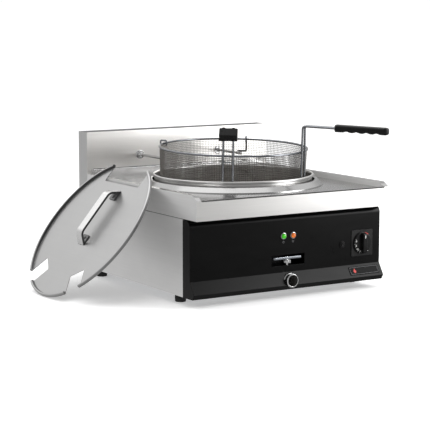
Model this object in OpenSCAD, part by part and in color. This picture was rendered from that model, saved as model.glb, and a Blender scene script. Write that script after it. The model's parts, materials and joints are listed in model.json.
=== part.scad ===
// Countertop electric fryer with a round basin, a wire basket that drains on a rear bracket,
// and a notched lid that leans against the left side.
// Body coordinates: x from the left side, y back from the apron's front face, z up from the
// surface that the feet stand on. place() then moves the middle of the footprint to the origin.

/* [Body] */
// Width of the worktop and of the splash
body_w = 600; // [590:1:620]
// Depth of the worktop, from the apron to the splash
deck_d = 596; // [590:1:610]
// Depth of the splash box
splash_d = 51; // [45:1:60]
// Height of the splash
splash_top = 405; // [380:1:430]
// Height of the worktop's front edge
deck_front_z = 276; // [270:1:284]
// Height of the front apron's lower edge
apron_z = 224.5; // [222:0.5:230]
// Height of the rims along the worktop's sides
rim_top = 288; // [286:1:292]
// Width of those rims
rim_w = 14; // [12:1:18]
// Thickness of the stainless sheet
sheet = 2; // [1.5:0.1:2.2]
// Height of the feet
foot_h = 22; // [20:1:22]
// Radius of the feet
foot_r = 15; // [13:1:17]

/* [Fascia] */
// Distance of the upright face from the apron's front face
face_y = 35.8; // [34:0.1:37]
// Height where the face starts to round back under the apron
bend_z = 203; // [200:1:204]
// Radius of that rounding
bend_r = 18; // [14:1:18]
// Height of the fold above the slanted band
fold_z = 66; // [65:1:70]
// Distance of the band's lower edge from the apron's front face
band_y = 15.6; // [14:0.1:18]
// Height of the band's lower edge
band_z = 34.5; // [33:0.5:36]
// Distance of the bottom lip from the apron's front face
lip_y = 23.7; // [22:0.1:25]
// Distance of the fascia's back edge from the apron's front face
fascia_back = 71; // [68:1:75]

/* [Controls] */
// Height of the two signal lamps
lamp_z = 162; // [150:1:170]
// Distance between the lamps
lamp_gap = 30; // [26:1:36]
// Sideways place of the thermostat knob
knob_x = 539; // [530:1:545]
// Height of the thermostat knob
knob_z = 124; // [118:1:128]
// Radius of the knob's skirt
knob_r = 29.5; // [26:0.5:31]
// Sideways place of the cut-out's reset button
reset_x = 474; // [465:1:480]
// Height of the bar handle of the drain valve
lever_z = 103; // [101:1:105]
// Length of that bar handle
lever_len = 90; // [80:1:96]
// Height of the drain outlet
outlet_z = 46; // [45:0.5:47]

/* [Basin] */
// Inside radius of the basin
basin_r = 214; // [212:1:216]
// Distance of the basin's centre from the apron's front face
basin_y = 305; // [300:1:308]
// Height of the basin's lip
lip_top = 302; // [298:1:304]
// Height where the wall meets the sloping floor
basin_floor = 150; // [145:1:155]

/* [Basket] */
// Radius of the rim wire's centre line
basket_r = 202; // [200:1:203]
// Depth below the rim
basket_depth = 130; // [120:1:135]
// Height of the rim while the basket drains
basket_z = 372; // [371:0.5:373]
// Forward tilt while the basket drains
basket_tilt = 1.8; // [1.6:0.1:2.0]
// Angle from the front to each pair of handle rods
pair_angle = 34; // [32:0.5:36]
// Height of the handles above the rim
handle_rise = 71; // [65:1:75]
// Length of the long handle's grip
grip_len = 148; // [130:1:155]

/* [Lid] */
// Radius of the lid
lid_r = 220; // [218:1:222]
// Height of the lid's raised edge
lid_edge = 9; // [7:1:10]
// Width of the lid's raised edge
lid_edge_w = 7; // [6:1:9]
// Distance from the body to where the lid stands on the surface
lid_reach = 243; // [235:1:250]
// Distance of the leaning lid's middle from the apron's front face
lid_y = 380; // [370:1:385]
// Width of the two notches for the handle rods
notch_w = 52; // [48:1:54]
// Distance from the lid's centre to the floor of those notches
notch_floor = 157; // [150:1:165]
// Half the width of the rear notch
rear_notch = 94; // [85:1:98]
// Distance from the lid's centre to the rear notch's floor
rear_notch_floor = 147; // [140:1:155]

/* [Hidden] */
$fn = 64;

gap = 0.1;                 // play between sheets that are screwed together
fit = 0.05;                // radial play of a pin, shaft or rod in its hole
mid_x = body_w / 2;
deck_z = 273;              // height of the sunken worktop surface
body_d = deck_d + splash_d;

// Middle of the whole part's footprint: from the leaning lid to the right side, and from the
// end of the long handle to the cable gland.
lid_out = lid_reach + 7;
handle_out = 79;
gland_out = 16;
origin_x = (body_w - lid_out) / 2;
origin_y = (body_d + gland_out - handle_out) / 2;

// Drain valve: a ball on a vertical stem just behind the fascia.
stem_y = 42;
stem_r = 3.5;
ball_r = 10.5;
valve_bore = 8;
spout_front = 12;
spout_back = 31;
spout_bore = 15;
pipe_r = 16;
pipe_bore = 13;
pipe_bend = 30;
valve_back = 92;
basin_port_z = 118;

// Basket wires, in the basket's own frame with the rim at z = 0.
rim_wire = 3;
rod_r = 3;
rod_x = basket_r + rim_wire + rod_r;      // distance of the upright rods from the axis
rod_half = 13;                            // half the distance between the two rods of a pair
rod_foot_z = -basket_depth - rod_r - fit;
grip_start = 300;
hook_angle = 37;                          // angle from the rear to each hook
hook_r = 2.5;
hook_foot_z = -35.3;
basket_turn = -2;                         // the basket hangs very slightly turned
arm_r = 4;
arm_x = 131;
arm_z = 335;
arm_front = 468;

// The lid stands on the surface and leans on the top edge of the left rim.
lean_gap = 0.4;
lid_slope = atan2(rim_top, lid_reach) + asin(lean_gap / norm([rim_top, lid_reach]));
lid_sheet = 1.5;

feet = [[29, 130], [body_w - 29, 130], [29, 568], [body_w - 29, 568]];

// ---- shared shapes ------------------------------------------------------------------------

module place() {
    translate([-origin_x, -origin_y, 0]) children();
}

module place_basket() {
    place() translate([mid_x, basin_y, basket_z])
        rotate([basket_tilt, 0, 0]) rotate([0, 0, basket_turn]) children();
}

// The lid's own frame: x and y across it, z out of its upper face, origin at its lowest point.
module place_lid() {
    place() translate([-lid_reach, lid_y, 0]) rotate([0, -lid_slope, 0])
        rotate([0, 0, -90]) translate([0, lid_r, 0]) children();
}

module along_y(start, length, r) {
    translate([0, start, 0]) rotate([-90, 0, 0]) cylinder(h = length, r = r);
}

// Straight round rod between two points.
module rod(a, b, r) {
    d = b - a;
    translate(a) rotate([0, acos(d.z / norm(d)), atan2(d.y, d.x)]) cylinder(h = norm(d), r = r);
}

// Round rod through a list of points, with ball-shaped corners.
module bent_rod(points, r) {
    for (i = [0 : len(points) - 2]) rod(points[i], points[i + 1], r);
    for (i = [1 : len(points) - 2]) translate(points[i]) sphere(r = r + 0.02);
}

module ring(r_mid, r_wire) {
    rotate_extrude() translate([r_mid, 0]) circle(r = r_wire);
}

// Prism of a side-view outline (y, z), from x = a to x = b.
module side_prism(outline, a, b) {
    translate([a, 0, 0]) rotate([90, 0, 90]) linear_extrude(b - a) polygon(outline);
}

// Prism of a front-view outline (x, z), from y = a to y = b.
module front_prism(outline, a, b) {
    translate([0, b, 0]) rotate([90, 0, 0]) linear_extrude(b - a) polygon(outline);
}

// ---- stainless body -----------------------------------------------------------------------

// Worktop section seen from the front, t inside its outer faces.
function deck_outline(t) = let (bottom = apron_z - t) [
    [t, bottom], [t, rim_top - t], [rim_w - t, rim_top - t], [rim_w - t, deck_z - t],
    [body_w - rim_w + t, deck_z - t], [body_w - rim_w + t, rim_top - t],
    [body_w - t, rim_top - t], [body_w - t, bottom]];

// Worktop seen from the side: the rims slope down over the last stretch to the front edge.
function deck_side(t) = let (bottom = apron_z - t, slope = 21) [
    [t, bottom], [t, deck_front_z - t], [slope + t / 2, rim_top - t],
    [deck_d - t, rim_top - t], [deck_d - t, bottom]];

module deck_block(t) {
    intersection() {
        front_prism(deck_outline(t), -1, deck_d + 1);
        side_prism(deck_side(t), -1, body_w + 1);
    }
}

module worktop() {
    bead_r = 2;
    bead_z = deck_front_z - bead_r;
    upstand_z = 300;
    color("gainsboro") place() difference() {
        union() {
            deck_block(0);
            translate([rim_w - 1, bead_r, bead_z]) rotate([0, 90, 0])
                cylinder(h = body_w - 2 * rim_w + 2, r = bead_r);
            translate([rim_w - 1, bead_r, deck_z - 1])
                cube([body_w - 2 * rim_w + 2, 5, deck_front_z - deck_z + 1]);
            translate([rim_w - 1, deck_d - sheet, deck_z - 1])
                cube([body_w - 2 * rim_w + 2, sheet, upstand_z - deck_z + 1]);
        }
        deck_block(sheet);
        translate([mid_x, basin_y, deck_z - 10]) cylinder(h = 20, r = basin_r + 3);
    }
}

// Domed ring around the basin: a cone up from the worktop, then a flat shoulder.
module basin_collar() {
    foot_ring = basin_r + 31;
    shoulder = basin_r + 17;
    shoulder_z = deck_z + 15;
    inner = basin_r + 8.5;
    color("gainsboro") place() translate([mid_x, basin_y, 0]) rotate_extrude() polygon([
        [foot_ring, deck_z + fit], [foot_ring, deck_z + sheet], [shoulder, shoulder_z],
        [inner, shoulder_z], [inner, deck_z + 4], [inner + sheet, deck_z + 4],
        [inner + sheet, shoulder_z - sheet], [shoulder - 1, shoulder_z - sheet],
        [foot_ring - 4, deck_z + fit]]);
}

module basin() {
    wall = basin_r + sheet;
    bead_r = 3.5;
    port_r = pipe_bore;
    sump_r = 45;
    sump_z = basin_port_z + sheet;
    color("silver") place() translate([mid_x, basin_y, 0]) difference() {
        union() {
            rotate_extrude() polygon([
                [port_r, sump_z], [sump_r, sump_z + 1], [basin_r, basin_floor],
                [basin_r, lip_top - bead_r], [wall, lip_top - bead_r], [wall, basin_floor - 1],
                [sump_r, basin_port_z + 0.5], [port_r, basin_port_z]]);
            translate([0, 0, lip_top - bead_r]) ring(basin_r + bead_r, bead_r);
        }
        for (x = [-21, -9, 9, 21])
            translate([x, 0, element_z]) along_y(basin_r - 8, 20, element_r + fit);
        rotate([0, 0, bulb_angle]) translate([basin_r - 8, 0, bulb_top])
            rotate([0, 90, 0]) cylinder(h = 20, r = bulb_r + fit);
    }
}

// Side wall, slotted where the rear wall of the worktop and the splash's front wall cross it.
module side_panel(x) {
    thick = sheet - 0.2;
    slot_front = deck_d - sheet - 2 * gap;
    slot_back = deck_d + sheet + 3 * gap;
    color("silver") place() difference() {
        translate([x, fascia_back + 1, foot_h])
            cube([thick, body_d - fascia_back - 6, deck_z - sheet - foot_h - 3]);
        translate([x - 1, slot_front, apron_z - 2 * gap])
            cube([thick + 2, slot_back - slot_front, 60]);
    }
}

module side_panel_left() { side_panel(sheet + gap); }
module side_panel_right() { side_panel(body_w - 2 * sheet - gap + 0.2); }

module splash_box() {
    hem = 7;
    color("gainsboro") place() difference() {
        union() {
            translate([0, deck_d + gap, apron_z]) cube([body_w, splash_d - gap, splash_top - apron_z]);
            translate([0, deck_d - 0.7, splash_top - hem]) cube([body_w, 2, hem]);
        }
        translate([sheet, deck_d + gap + sheet, apron_z - 1])
            cube([body_w - 2 * sheet, splash_d, splash_top - apron_z - sheet + 1]);
        for (s = [-1, 1]) translate([mid_x + s * arm_x, 0, arm_z])
            for (dz = [-8, 8]) translate([0, 0, dz]) along_y(deck_d - 2, 8, screw_r + fit);
    }
}

screw_r = 2;
gland_x = 120;
gland_z = 62;
gland_r = 10;
rear_y = body_d - 3 - sheet;
rear_screw_x = [40, mid_x, body_w - 40];
rear_screw_z = [40, splash_top - 30];

module rear_panel() {
    side = 2 * sheet + 0.3;
    color("silver") place() difference() {
        translate([side, rear_y, foot_h + 3])
            cube([body_w - 2 * side, sheet, splash_top - sheet - foot_h - 4]);
        translate([gland_x, 0, gland_z]) along_y(rear_y - 1, 5, gland_r + fit);
        for (i = [0 : 8], row = [0, 1]) translate([mid_x - 120 + 30 * i, rear_y - 1, 130 + 60 * row])
            cube([8, 5, 40]);
        for (x = rear_screw_x, z = rear_screw_z)
            translate([x, 0, z]) along_y(rear_y - 1, 5, screw_r + fit);
    }
}

module rear_screws() {
    color("dimgray") place() for (x = rear_screw_x, z = rear_screw_z) translate([x, 0, z]) {
        along_y(rear_y - 5, 5 + sheet, screw_r);
        along_y(rear_y + sheet, 2.2, 4);
    }
}

// Tray that closes the body from below and carries the feet.
module base_pan() {
    side = 2 * sheet + 0.3;
    front = fascia_back + 1;
    depth = rear_y - front - 0.3;
    wall = 12;
    color("silver") place() difference() {
        translate([side, front, foot_h]) cube([body_w - 2 * side, depth, wall]);
        translate([side + sheet, front + sheet, foot_h + sheet])
            cube([body_w - 2 * side - 2 * sheet, depth - 2 * sheet, wall]);
        for (f = feet) translate([f.x, f.y, foot_h - 1]) cylinder(h = 5, r = stud_r + fit);
        for (i = [0 : 6], j = [0, 1]) translate([150 + 45 * i, 200 + 230 * j, foot_h - 1])
            cube([8, 60, 5]);
        translate([mid_x, 0, outlet_z]) along_y(front - 1, sheet + 2, barrel_r + 1);
    }
}

stud_r = 4;
stud_top = foot_h + 12;

module foot(f) {
    color([0.05, 0.05, 0.05]) place() translate([f.x, f.y, 0]) difference() {
        union() {
            cylinder(h = foot_h - 6, r1 = foot_r - 1, r2 = foot_r);
            translate([0, 0, foot_h - 6]) cylinder(h = 6 - gap, r = foot_r - 2.5);
        }
        translate([0, 0, 7]) cylinder(h = foot_h, r = stud_r + fit);
    }
}

module foot_front_left() { foot(feet[0]); }
module foot_front_right() { foot(feet[1]); }
module foot_rear_left() { foot(feet[2]); }
module foot_rear_right() { foot(feet[3]); }

module foot_studs() {
    color("silver") place() for (f = feet) translate([f.x, f.y, 7.2])
        cylinder(h = stud_top - 7.2, r = stud_r);
}

module foot_nuts() {
    color("silver") place() for (f = feet) translate([f.x, f.y, foot_h + sheet + gap]) difference() {
        cylinder(h = 6, r = 7.5, $fn = 6);
        translate([0, 0, -1]) cylinder(h = 8, r = stud_r + fit);
    }
}

// Two round arms out of the splash, on which the basket's hooks rest.
module drain_bracket() {
    plate_r = 13;
    color("silver") place() for (s = [-1, 1]) translate([mid_x + s * arm_x, 0, arm_z]) {
        difference() {
            along_y(deck_d - 3, 3, plate_r);
            for (dz = [-8, 8]) translate([0, 0, dz]) along_y(deck_d - 4, 5, screw_r + fit);
        }
        along_y(arm_front, deck_d - 3 - arm_front, arm_r);
        translate([0, arm_front, 0]) sphere(r = arm_r - 0.02);
    }
}

module bracket_screws() {
    color("silver") place() for (s = [-1, 1], dz = [-8, 8])
        translate([mid_x + s * arm_x, 0, arm_z + dz]) {
            along_y(deck_d - 3, 9, screw_r);
            along_y(deck_d - 4.6, 1.6, 3.4);
        }
}

// ---- black fascia and what is on it -------------------------------------------------------

// Side view of the fascia, t inside its outer face and open at the back.
function fascia_outline(t) = let (steps = 10, back = fascia_back + t) concat(
    [[back, foot_h + t], [lip_y + 0.55 * t, foot_h + t], [band_y + 1.1 * t, band_z + 0.15 * t],
     [face_y + t, fold_z - 0.3 * t]],
    [for (i = [0 : steps]) let (a = 180 - 90 * i / steps, r = bend_r - t)
        [face_y + bend_r + r * cos(a), bend_z + r * sin(a)]],
    [[back, bend_z + bend_r - t]]);

slot_w = 104;
slot_low = 84;
slot_high = 112;
side_in = 1;

module fascia() {
    color([0.04, 0.04, 0.045]) place() difference() {
        side_prism(fascia_outline(0), side_in, body_w - side_in);
        side_prism(fascia_outline(sheet), side_in + sheet, body_w - side_in - sheet);
        for (s = [-1, 1]) translate([mid_x + s * lamp_gap / 2, 0, lamp_z])
            along_y(face_y - 5, 10, lamp_r + fit);
        translate([knob_x, 0, knob_z]) along_y(face_y - 5, 10, 6);
        translate([reset_x, 0, knob_z]) along_y(face_y - 5, 10, reset_r + 1.5 + fit);
        translate([mid_x - slot_w / 2, face_y - 5, slot_low])
            cube([slot_w, 10, slot_high - slot_low]);
        translate([mid_x, 0, outlet_z]) along_y(0, 60, 18.5);
    }
}

// Black tray behind the lever's slot, with a hole for the valve's stem.
module lever_recess() {
    wall = 1.5;
    front = face_y + sheet + gap;
    depth = 52;
    half = slot_w / 2 + 0.5;
    low = slot_low - 0.5;
    high = slot_high + 0.5;
    color([0.04, 0.04, 0.045]) place() translate([mid_x, 0, 0]) difference() {
        translate([-half - wall, front, low - wall])
            cube([2 * (half + wall), depth, high - low + 2 * wall]);
        translate([-half, front - 1, low]) cube([2 * half, depth + 1 - wall, high - low]);
        translate([0, stem_y, low - wall - 1]) cylinder(h = wall + 2, r = stem_r + 1);
    }
}

plate_half = 35;
plate_t = 2;

module knob_plate() {
    color([0.12, 0.12, 0.125]) place() difference() {
        translate([knob_x - plate_half, face_y - gap / 2 - plate_t, knob_z - plate_half])
            cube([2 * plate_half, plate_t, 2 * plate_half]);
        translate([knob_x, 0, knob_z]) along_y(face_y - 5, 10, 5);
    }
}

// Plain plate on the slanted band.
module badge_plate() {
    badge_w = 96;
    badge_h = 24;
    band_angle = atan2(face_y - band_y, fold_z - band_z);
    color([0.02, 0.02, 0.02]) place() translate([body_w - 12 - badge_w, band_y, band_z])
        rotate([-band_angle, 0, 0]) translate([0, -1.25, 7]) cube([badge_w, 1.2, badge_h]);
}

lamp_r = 6.5;

module lamp_bezel(s) {
    color("silver") place() translate([mid_x + s * lamp_gap / 2, 0, lamp_z]) difference() {
        union() {
            along_y(face_y - 2.4, 2.4 - gap / 2, lamp_r + 2.5);
            along_y(face_y - gap, 22, lamp_r);
        }
        along_y(face_y - 10, 34, lamp_r - 1.5);
    }
}

module green_lamp_bezel() { lamp_bezel(-1); }
module amber_lamp_bezel() { lamp_bezel(1); }

// Domed lens with a stem that sits inside the bezel.
module lamp_lens(s, tint) {
    seat = face_y - 2.4 - gap / 2;
    dome_r = 8;
    color(tint) place() translate([mid_x + s * lamp_gap / 2, 0, lamp_z]) union() {
        intersection() {
            translate([0, seat + 3.2, 0]) sphere(r = dome_r);
            along_y(seat - 6, 6, lamp_r + 0.8);
        }
        along_y(seat - 0.5, 14, lamp_r - 1.5 - fit);
    }
}

module green_lamp_lens() { lamp_lens(-1, [0.25, 0.8, 0.1]); }
module amber_lamp_lens() { lamp_lens(1, [0.95, 0.45, 0.12]); }

reset_r = 5.5;

module reset_bezel() {
    color([0.03, 0.03, 0.03]) place() translate([reset_x, 0, knob_z]) difference() {
        union() {
            along_y(face_y - 2, 2 - gap / 2, reset_r + 3.5);
            along_y(face_y - gap, 12, reset_r + 1.5);
        }
        along_y(face_y - 5, 20, reset_r + fit);
    }
}

module reset_button() {
    front = face_y - 4.8;
    color([0.06, 0.06, 0.06]) place() translate([reset_x, 0, knob_z]) union() {
        along_y(front + 1, 12, reset_r);
        along_y(front, 1.5, reset_r - 1.2);
    }
}

spindle_r = 3;
knob_back = face_y - plate_t - 0.3;
skirt_t = 5;
bar_t = 11;

module thermostat_knob() {
    bar_half = 6.5;
    color([0.03, 0.03, 0.03]) place() translate([knob_x, 0, knob_z]) difference() {
        union() {
            along_y(knob_back - skirt_t, skirt_t, knob_r);
            intersection() {
                translate([-bar_half, knob_back - skirt_t - bar_t, -knob_r])
                    cube([2 * bar_half, bar_t + 1, 2 * knob_r]);
                along_y(knob_back - skirt_t - bar_t, bar_t + 1, knob_r - 1);
            }
        }
        along_y(knob_back - skirt_t - 6, 20, spindle_r + fit);
    }
}

module knob_spindle() {
    color("silver") place() translate([knob_x, 0, knob_z])
        along_y(knob_back - skirt_t - 5.8, 30, spindle_r);
}

// ---- inside the body ----------------------------------------------------------------------

behind = face_y + sheet + 0.3;

module thermostat_body() {
    color("tan") place() translate([knob_x, 0, knob_z]) difference() {
        translate([-20, behind, -22]) cube([40, 30, 44]);
        along_y(behind - 1, 28, spindle_r + fit);
    }
}

module cut_out_body() {
    depth = 13;
    color("tan") place() translate([reset_x, 0, knob_z]) difference() {
        translate([-14, behind, -18]) cube([28, 34, 36]);
        along_y(behind - 1, depth + 1, reset_r + 2);
    }
}

bulb_r = 3;
bulb_angle = -38;
bulb_top = 236;

// Sensing bulb beside the basin's wall, and the tail that leaves through it.
module thermostat_bulb() {
    color("peru") place() translate([mid_x, basin_y, 0]) rotate([0, 0, bulb_angle])
        bent_rod([[basin_r - 5, 0, 176], [basin_r - 5, 0, bulb_top], [basin_r + 26, 0, bulb_top]],
                 bulb_r);
}

element_z = 166;
element_r = 4;

// Tubular heater: one open loop whose two legs leave through the basin's rear wall.
module element(loop_r, leg_x) {
    open = asin(leg_x / loop_r);
    leg_y = loop_r * cos(open);
    color("dimgray") place() translate([mid_x, basin_y, element_z]) {
        rotate([0, 0, 90 + open]) rotate_extrude(angle = 360 - 2 * open)
            translate([loop_r, 0]) circle(r = element_r);
        for (s = [-1, 1]) translate([s * leg_x, 0, 0]) {
            translate([0, leg_y, 0]) sphere(r = element_r + 0.02);
            along_y(leg_y, basin_r + 30 - leg_y, element_r);
        }
    }
}

module element_outer() { element(168, 21); }
module element_inner() { element(105, 9); }

module element_nuts() {
    color("silver") place() translate([mid_x, basin_y, element_z])
        for (x = [-21, -9, 9, 21]) translate([x, 0, 0]) difference() {
            along_y(basin_r + sheet + 0.2, 9, 5.6);
            along_y(basin_r, 20, element_r + fit);
        }
}

module contactor() {
    color("ivory") place() translate([440, 540, foot_h + sheet + gap]) cube([50, 60, 72]);
}

module terminal_block() {
    color("ivory") place() translate([80, 585, foot_h + sheet + gap]) cube([64, 26, 24]);
}

// Inlet for the supply cable.
module cable_gland() {
    cable_r = 5.5;
    color([0.05, 0.05, 0.05]) place() translate([gland_x, 0, gland_z]) difference() {
        union() {
            along_y(rear_y - 9, 10 + sheet, gland_r);
            along_y(rear_y + sheet + gap, gland_out + 3 - gap, gland_r + 4);
        }
        along_y(rear_y - 12, 60, cable_r);
    }
}

module gland_nut() {
    color([0.05, 0.05, 0.05]) place() translate([gland_x, 0, gland_z]) difference() {
        translate([0, rear_y - 6, 0]) rotate([-90, 0, 0]) cylinder(h = 5.8, r = 15, $fn = 6);
        along_y(rear_y - 8, 10, gland_r + fit);
    }
}

// Pipe from the basin's port, down, around a bend and forward to the valve.
module drain_pipe() {
    bend_y = basin_y - pipe_bend;
    bend_z0 = outlet_z + pipe_bend;
    color("silver") place() translate([mid_x, 0, 0]) {
        translate([0, basin_y, bend_z0]) difference() {
            cylinder(h = basin_port_z - gap - bend_z0, r = pipe_r);
            translate([0, 0, -1]) cylinder(h = 80, r = pipe_bore);
        }
        translate([0, bend_y, bend_z0]) rotate([0, -90, 0]) rotate([0, 0, 90])
            rotate_extrude(angle = 90) translate([pipe_bend, 0]) difference() {
                circle(r = pipe_r);
                circle(r = pipe_bore);
            }
        translate([0, 0, outlet_z]) difference() {
            along_y(valve_back + gap, bend_y - valve_back - gap, pipe_r);
            along_y(valve_back - 1, bend_y, pipe_bore);
        }
    }
}

barrel_r = 17;

module valve_body() {
    color("silver") place() translate([mid_x, 0, outlet_z]) difference() {
        along_y(spout_back + fit, valve_back - spout_back - fit, barrel_r);
        along_y(spout_back - 1, 80, valve_bore);
        translate([0, stem_y, 0]) {
            sphere(r = ball_r + fit);
            cylinder(h = 30, r = stem_r + fit);
        }
    }
}

module drain_spout() {
    color("silver") place() translate([mid_x, 0, outlet_z]) difference() {
        union() {
            along_y(spout_front, 4, 18);
            along_y(spout_front, spout_back - spout_front, 16.5);
            along_y(spout_back - 4, 4, 18);
        }
        along_y(spout_front - 1, 40, spout_bore);
    }
}

// ---- drain valve's turning pieces ---------------------------------------------------------

stem_low = 7;

module valve_ball() {
    color("silver") place() translate([mid_x, stem_y, outlet_z]) difference() {
        sphere(r = ball_r);
        translate([-20, 0, 0]) rotate([0, 90, 0]) cylinder(h = 40, r = 5.5);
        translate([0, 0, stem_low]) cylinder(h = 20, r = stem_r + fit);
    }
}

module valve_stem() {
    color("silver") place() translate([mid_x, stem_y, 0]) {
        translate([0, 0, outlet_z + stem_low + fit])
            cylinder(h = lever_z + 4.5 - outlet_z - stem_low, r = stem_r);
    }
}

module valve_nut() {
    color("silver") place() translate([mid_x, stem_y, lever_z - 13]) difference() {
        cylinder(h = 6.5, r = 11.5, $fn = 6);
        translate([0, 0, -1]) cylinder(h = 12, r = stem_r + fit);
    }
}

module valve_lever() {
    half_w = 6.2;
    thick = 6.5;
    reach = lever_len / 2 - half_w;
    color("lightsteelblue") place() translate([mid_x, stem_y, lever_z - thick / 2]) difference() {
        union() {
            translate([-reach, -half_w, 0]) cube([2 * reach, 2 * half_w, thick]);
            for (s = [-1, 1]) translate([s * reach, 0, 0]) cylinder(h = thick, r = half_w);
        }
        translate([0, 0, -1]) cylinder(h = thick + 2, r = stem_r + fit);
    }
}

// ---- basket -------------------------------------------------------------------------------

// The woven cup, as a plain shell of its outer shape.
module basket_mesh() {
    top_r = basket_r - 0.2;
    low_r = top_r - 4;
    wall = 1.5;
    top_z = -rim_wire - fit;
    color("silver") place_basket() rotate_extrude() polygon([
        [0, -basket_depth], [low_r, -basket_depth], [top_r, top_z], [top_r - wall, top_z],
        [low_r - wall, wall - basket_depth], [0, wall - basket_depth]]);
}

module basket_rim() {
    color("silver") place_basket() ring(basket_r, rim_wire);
}

module basket_base_ring() {
    wire = 2.5;
    color("silver") place_basket() translate([0, 0, 1.6 - basket_depth + wire])
        ring(basket_r - 10, wire);
}

// Upright rods of one handle: under the floor, up outside the rim, and on through the points
// that finish the handle.
module rod_pair(angle, tail) {
    under_x = 150;
    rotate([0, 0, angle]) for (s = [-1, 1])
        bent_rod(concat([[under_x, s * rod_half, rod_foot_z], [rod_x, s * rod_half, rod_foot_z]],
                        [for (p = tail) [p.x, s * p.y, p.z]]), rod_r);
}

long_angle = pair_angle - 90;
side_angle = -pair_angle - 90;
grip_half = 7.5;                          // half the distance between the rods in the grip

module long_handle_rods() {
    color("lightsteelblue") place_basket() rod_pair(long_angle,
        [[rod_x, grip_half, handle_rise], [grip_start + 40, grip_half, handle_rise]]);
}

// Moulded grip with finger hollows underneath and a rounded end.
module long_handle_grip() {
    half_w = 13;
    half_h = 10;
    finger_r = 15;
    color([0.03, 0.03, 0.03]) place_basket() rotate([0, 0, long_angle]) difference() {
        union() {
            translate([grip_start, -half_w, handle_rise - half_h])
                cube([grip_len - half_w, 2 * half_w, 2 * half_h]);
            translate([grip_start + grip_len - half_w, 0, handle_rise - half_h])
                cylinder(h = 2 * half_h, r = half_w);
        }
        for (i = [0 : 3]) translate([grip_start + 32 + 28 * i, 0, handle_rise - half_h - finger_r + 3])
            rotate([90, 0, 0]) cylinder(h = 40, r = finger_r, center = true);
        for (s = [-1, 1]) translate([grip_start - 1, s * grip_half, handle_rise])
            rotate([0, 90, 0]) cylinder(h = 42, r = rod_r + fit);
    }
}

block_low = 42;
block_top = 74;

module side_handle_rods() {
    color("lightsteelblue") place_basket()
        rod_pair(side_angle, [[rod_x, rod_half, block_top + 2.5]]);
}

// Block grip with a sloping upper face; the two rods run up through it.
module side_handle_grip() {
    half_w = 24;
    inner = rod_x - 10;
    outer = rod_x + 19;
    color([0.03, 0.03, 0.03]) place_basket() rotate([0, 0, side_angle]) difference() {
        front_prism([[inner, block_low], [outer, block_low], [outer, block_low + 15],
                     [rod_x + 4.5, block_top], [inner, block_top]], -half_w, half_w);
        for (s = [-1, 1]) translate([rod_x, s * rod_half, block_low - 1])
            cylinder(h = 50, r = rod_r + fit);
    }
}

// Two wire hooks over the rim, each with a foot that lies across an arm of the bracket.
module basket_hooks() {
    inside = basket_r - rim_wire - hook_r - 0.6;
    outside = basket_r + 12;
    over = rim_wire + hook_r + 2;
    side = 13;
    color("dimgray") place_basket() for (s = [-1, 1]) rotate([0, 0, 90 + s * hook_angle])
        bent_rod([[inside, s * side, -7], [inside, s * side, over], [outside, s * side, over],
                  [outside, s * side, hook_foot_z], [outside, -s * side, hook_foot_z]], hook_r);
}

// ---- lid ----------------------------------------------------------------------------------

module lid_notches() {
    tall = 40;
    for (s = [-1, 1]) rotate([0, 0, -90 + s * pair_angle])
        translate([notch_floor, -notch_w / 2, -tall / 2]) cube([lid_r, notch_w, tall]);
    translate([-rear_notch, rear_notch_floor, -tall / 2]) cube([2 * rear_notch, lid_r, tall]);
}

// One pressed sheet: a flat panel with a raised edge, chamfered along its crest.
module lid() {
    crest = 2;
    inner = lid_r - lid_edge_w;
    color("lightgray") place_lid() difference() {
        rotate_extrude() polygon([
            [0, 0], [lid_r, 0], [lid_r, lid_edge - crest], [lid_r - crest, lid_edge],
            [inner + crest, lid_edge], [inner, lid_edge - crest], [inner, lid_sheet],
            [0, lid_sheet]]);
        lid_notches();
        translate([handle_x, handle_y, 0]) for (s = [-1, 1])
            translate([0, s * rivet_y, -1]) cylinder(h = 5, r = rivet_r + fit);
    }
}

handle_w = 31;
handle_out_z = 30;
handle_t = 6.5;
handle_x = 10;
handle_y = 37;

// Side view of the bow handle (y along the lid, z out of it), t inside its outer face.
function strap_outline(t) = let (bend_y = 55, bend_r = 25, leg_angle = 51.3,
    r = bend_r - t, bend_z = handle_out_z - bend_r, base = lid_sheet + fit - (t > 0 ? 1 : 0),
    end_y = bend_y + r * sin(leg_angle), end_z = bend_z + r * cos(leg_angle),
    foot_y = end_y + (end_z - base) / tan(leg_angle), turn = [for (i = [0 : 6]) leg_angle * i / 6])
    concat([[-foot_y, base]],
        [for (i = [6 : -1 : 0]) [-bend_y - r * sin(turn[i]), bend_z + r * cos(turn[i])]],
        [for (a = turn) [bend_y + r * sin(a), bend_z + r * cos(a)]],
        [[foot_y, base]]);

foot_t = 3;

module lid_handle() {
    foot_len = 26;
    color("gainsboro") place_lid() translate([handle_x, handle_y, 0]) {
        difference() {
            side_prism(strap_outline(0), -handle_w / 2, handle_w / 2);
            side_prism(strap_outline(handle_t), -handle_w, handle_w);
        }
        for (s = [-1, 1]) difference() {
            translate([-handle_w / 2, s * (rivet_y + 4) - foot_len / 2, lid_sheet + fit])
                cube([handle_w, foot_len, foot_t]);
            translate([0, s * rivet_y, -1]) cylinder(h = 12, r = rivet_r + fit);
        }
    }
}

rivet_r = 2.5;
rivet_y = 67;

// Each rivet holds a handle foot to the lid: head, shank, and tail under the lid.
module lid_rivets() {
    head_r = 4.5;
    head_h = 2;
    tail_h = 1.2;
    seat = lid_sheet + fit + foot_t + fit;
    color("silver") place_lid() translate([handle_x, handle_y, 0])
        for (s = [-1, 1]) translate([0, s * rivet_y, 0]) {
            translate([0, 0, seat]) cylinder(h = head_h, r = head_r);
            translate([0, 0, -fit - tail_h]) cylinder(h = seat + tail_h + 2 * fit, r = rivet_r);
            translate([0, 0, -fit - tail_h]) cylinder(h = tail_h, r = head_r);
        }
}

// ---- drawing ------------------------------------------------------------------------------

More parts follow.
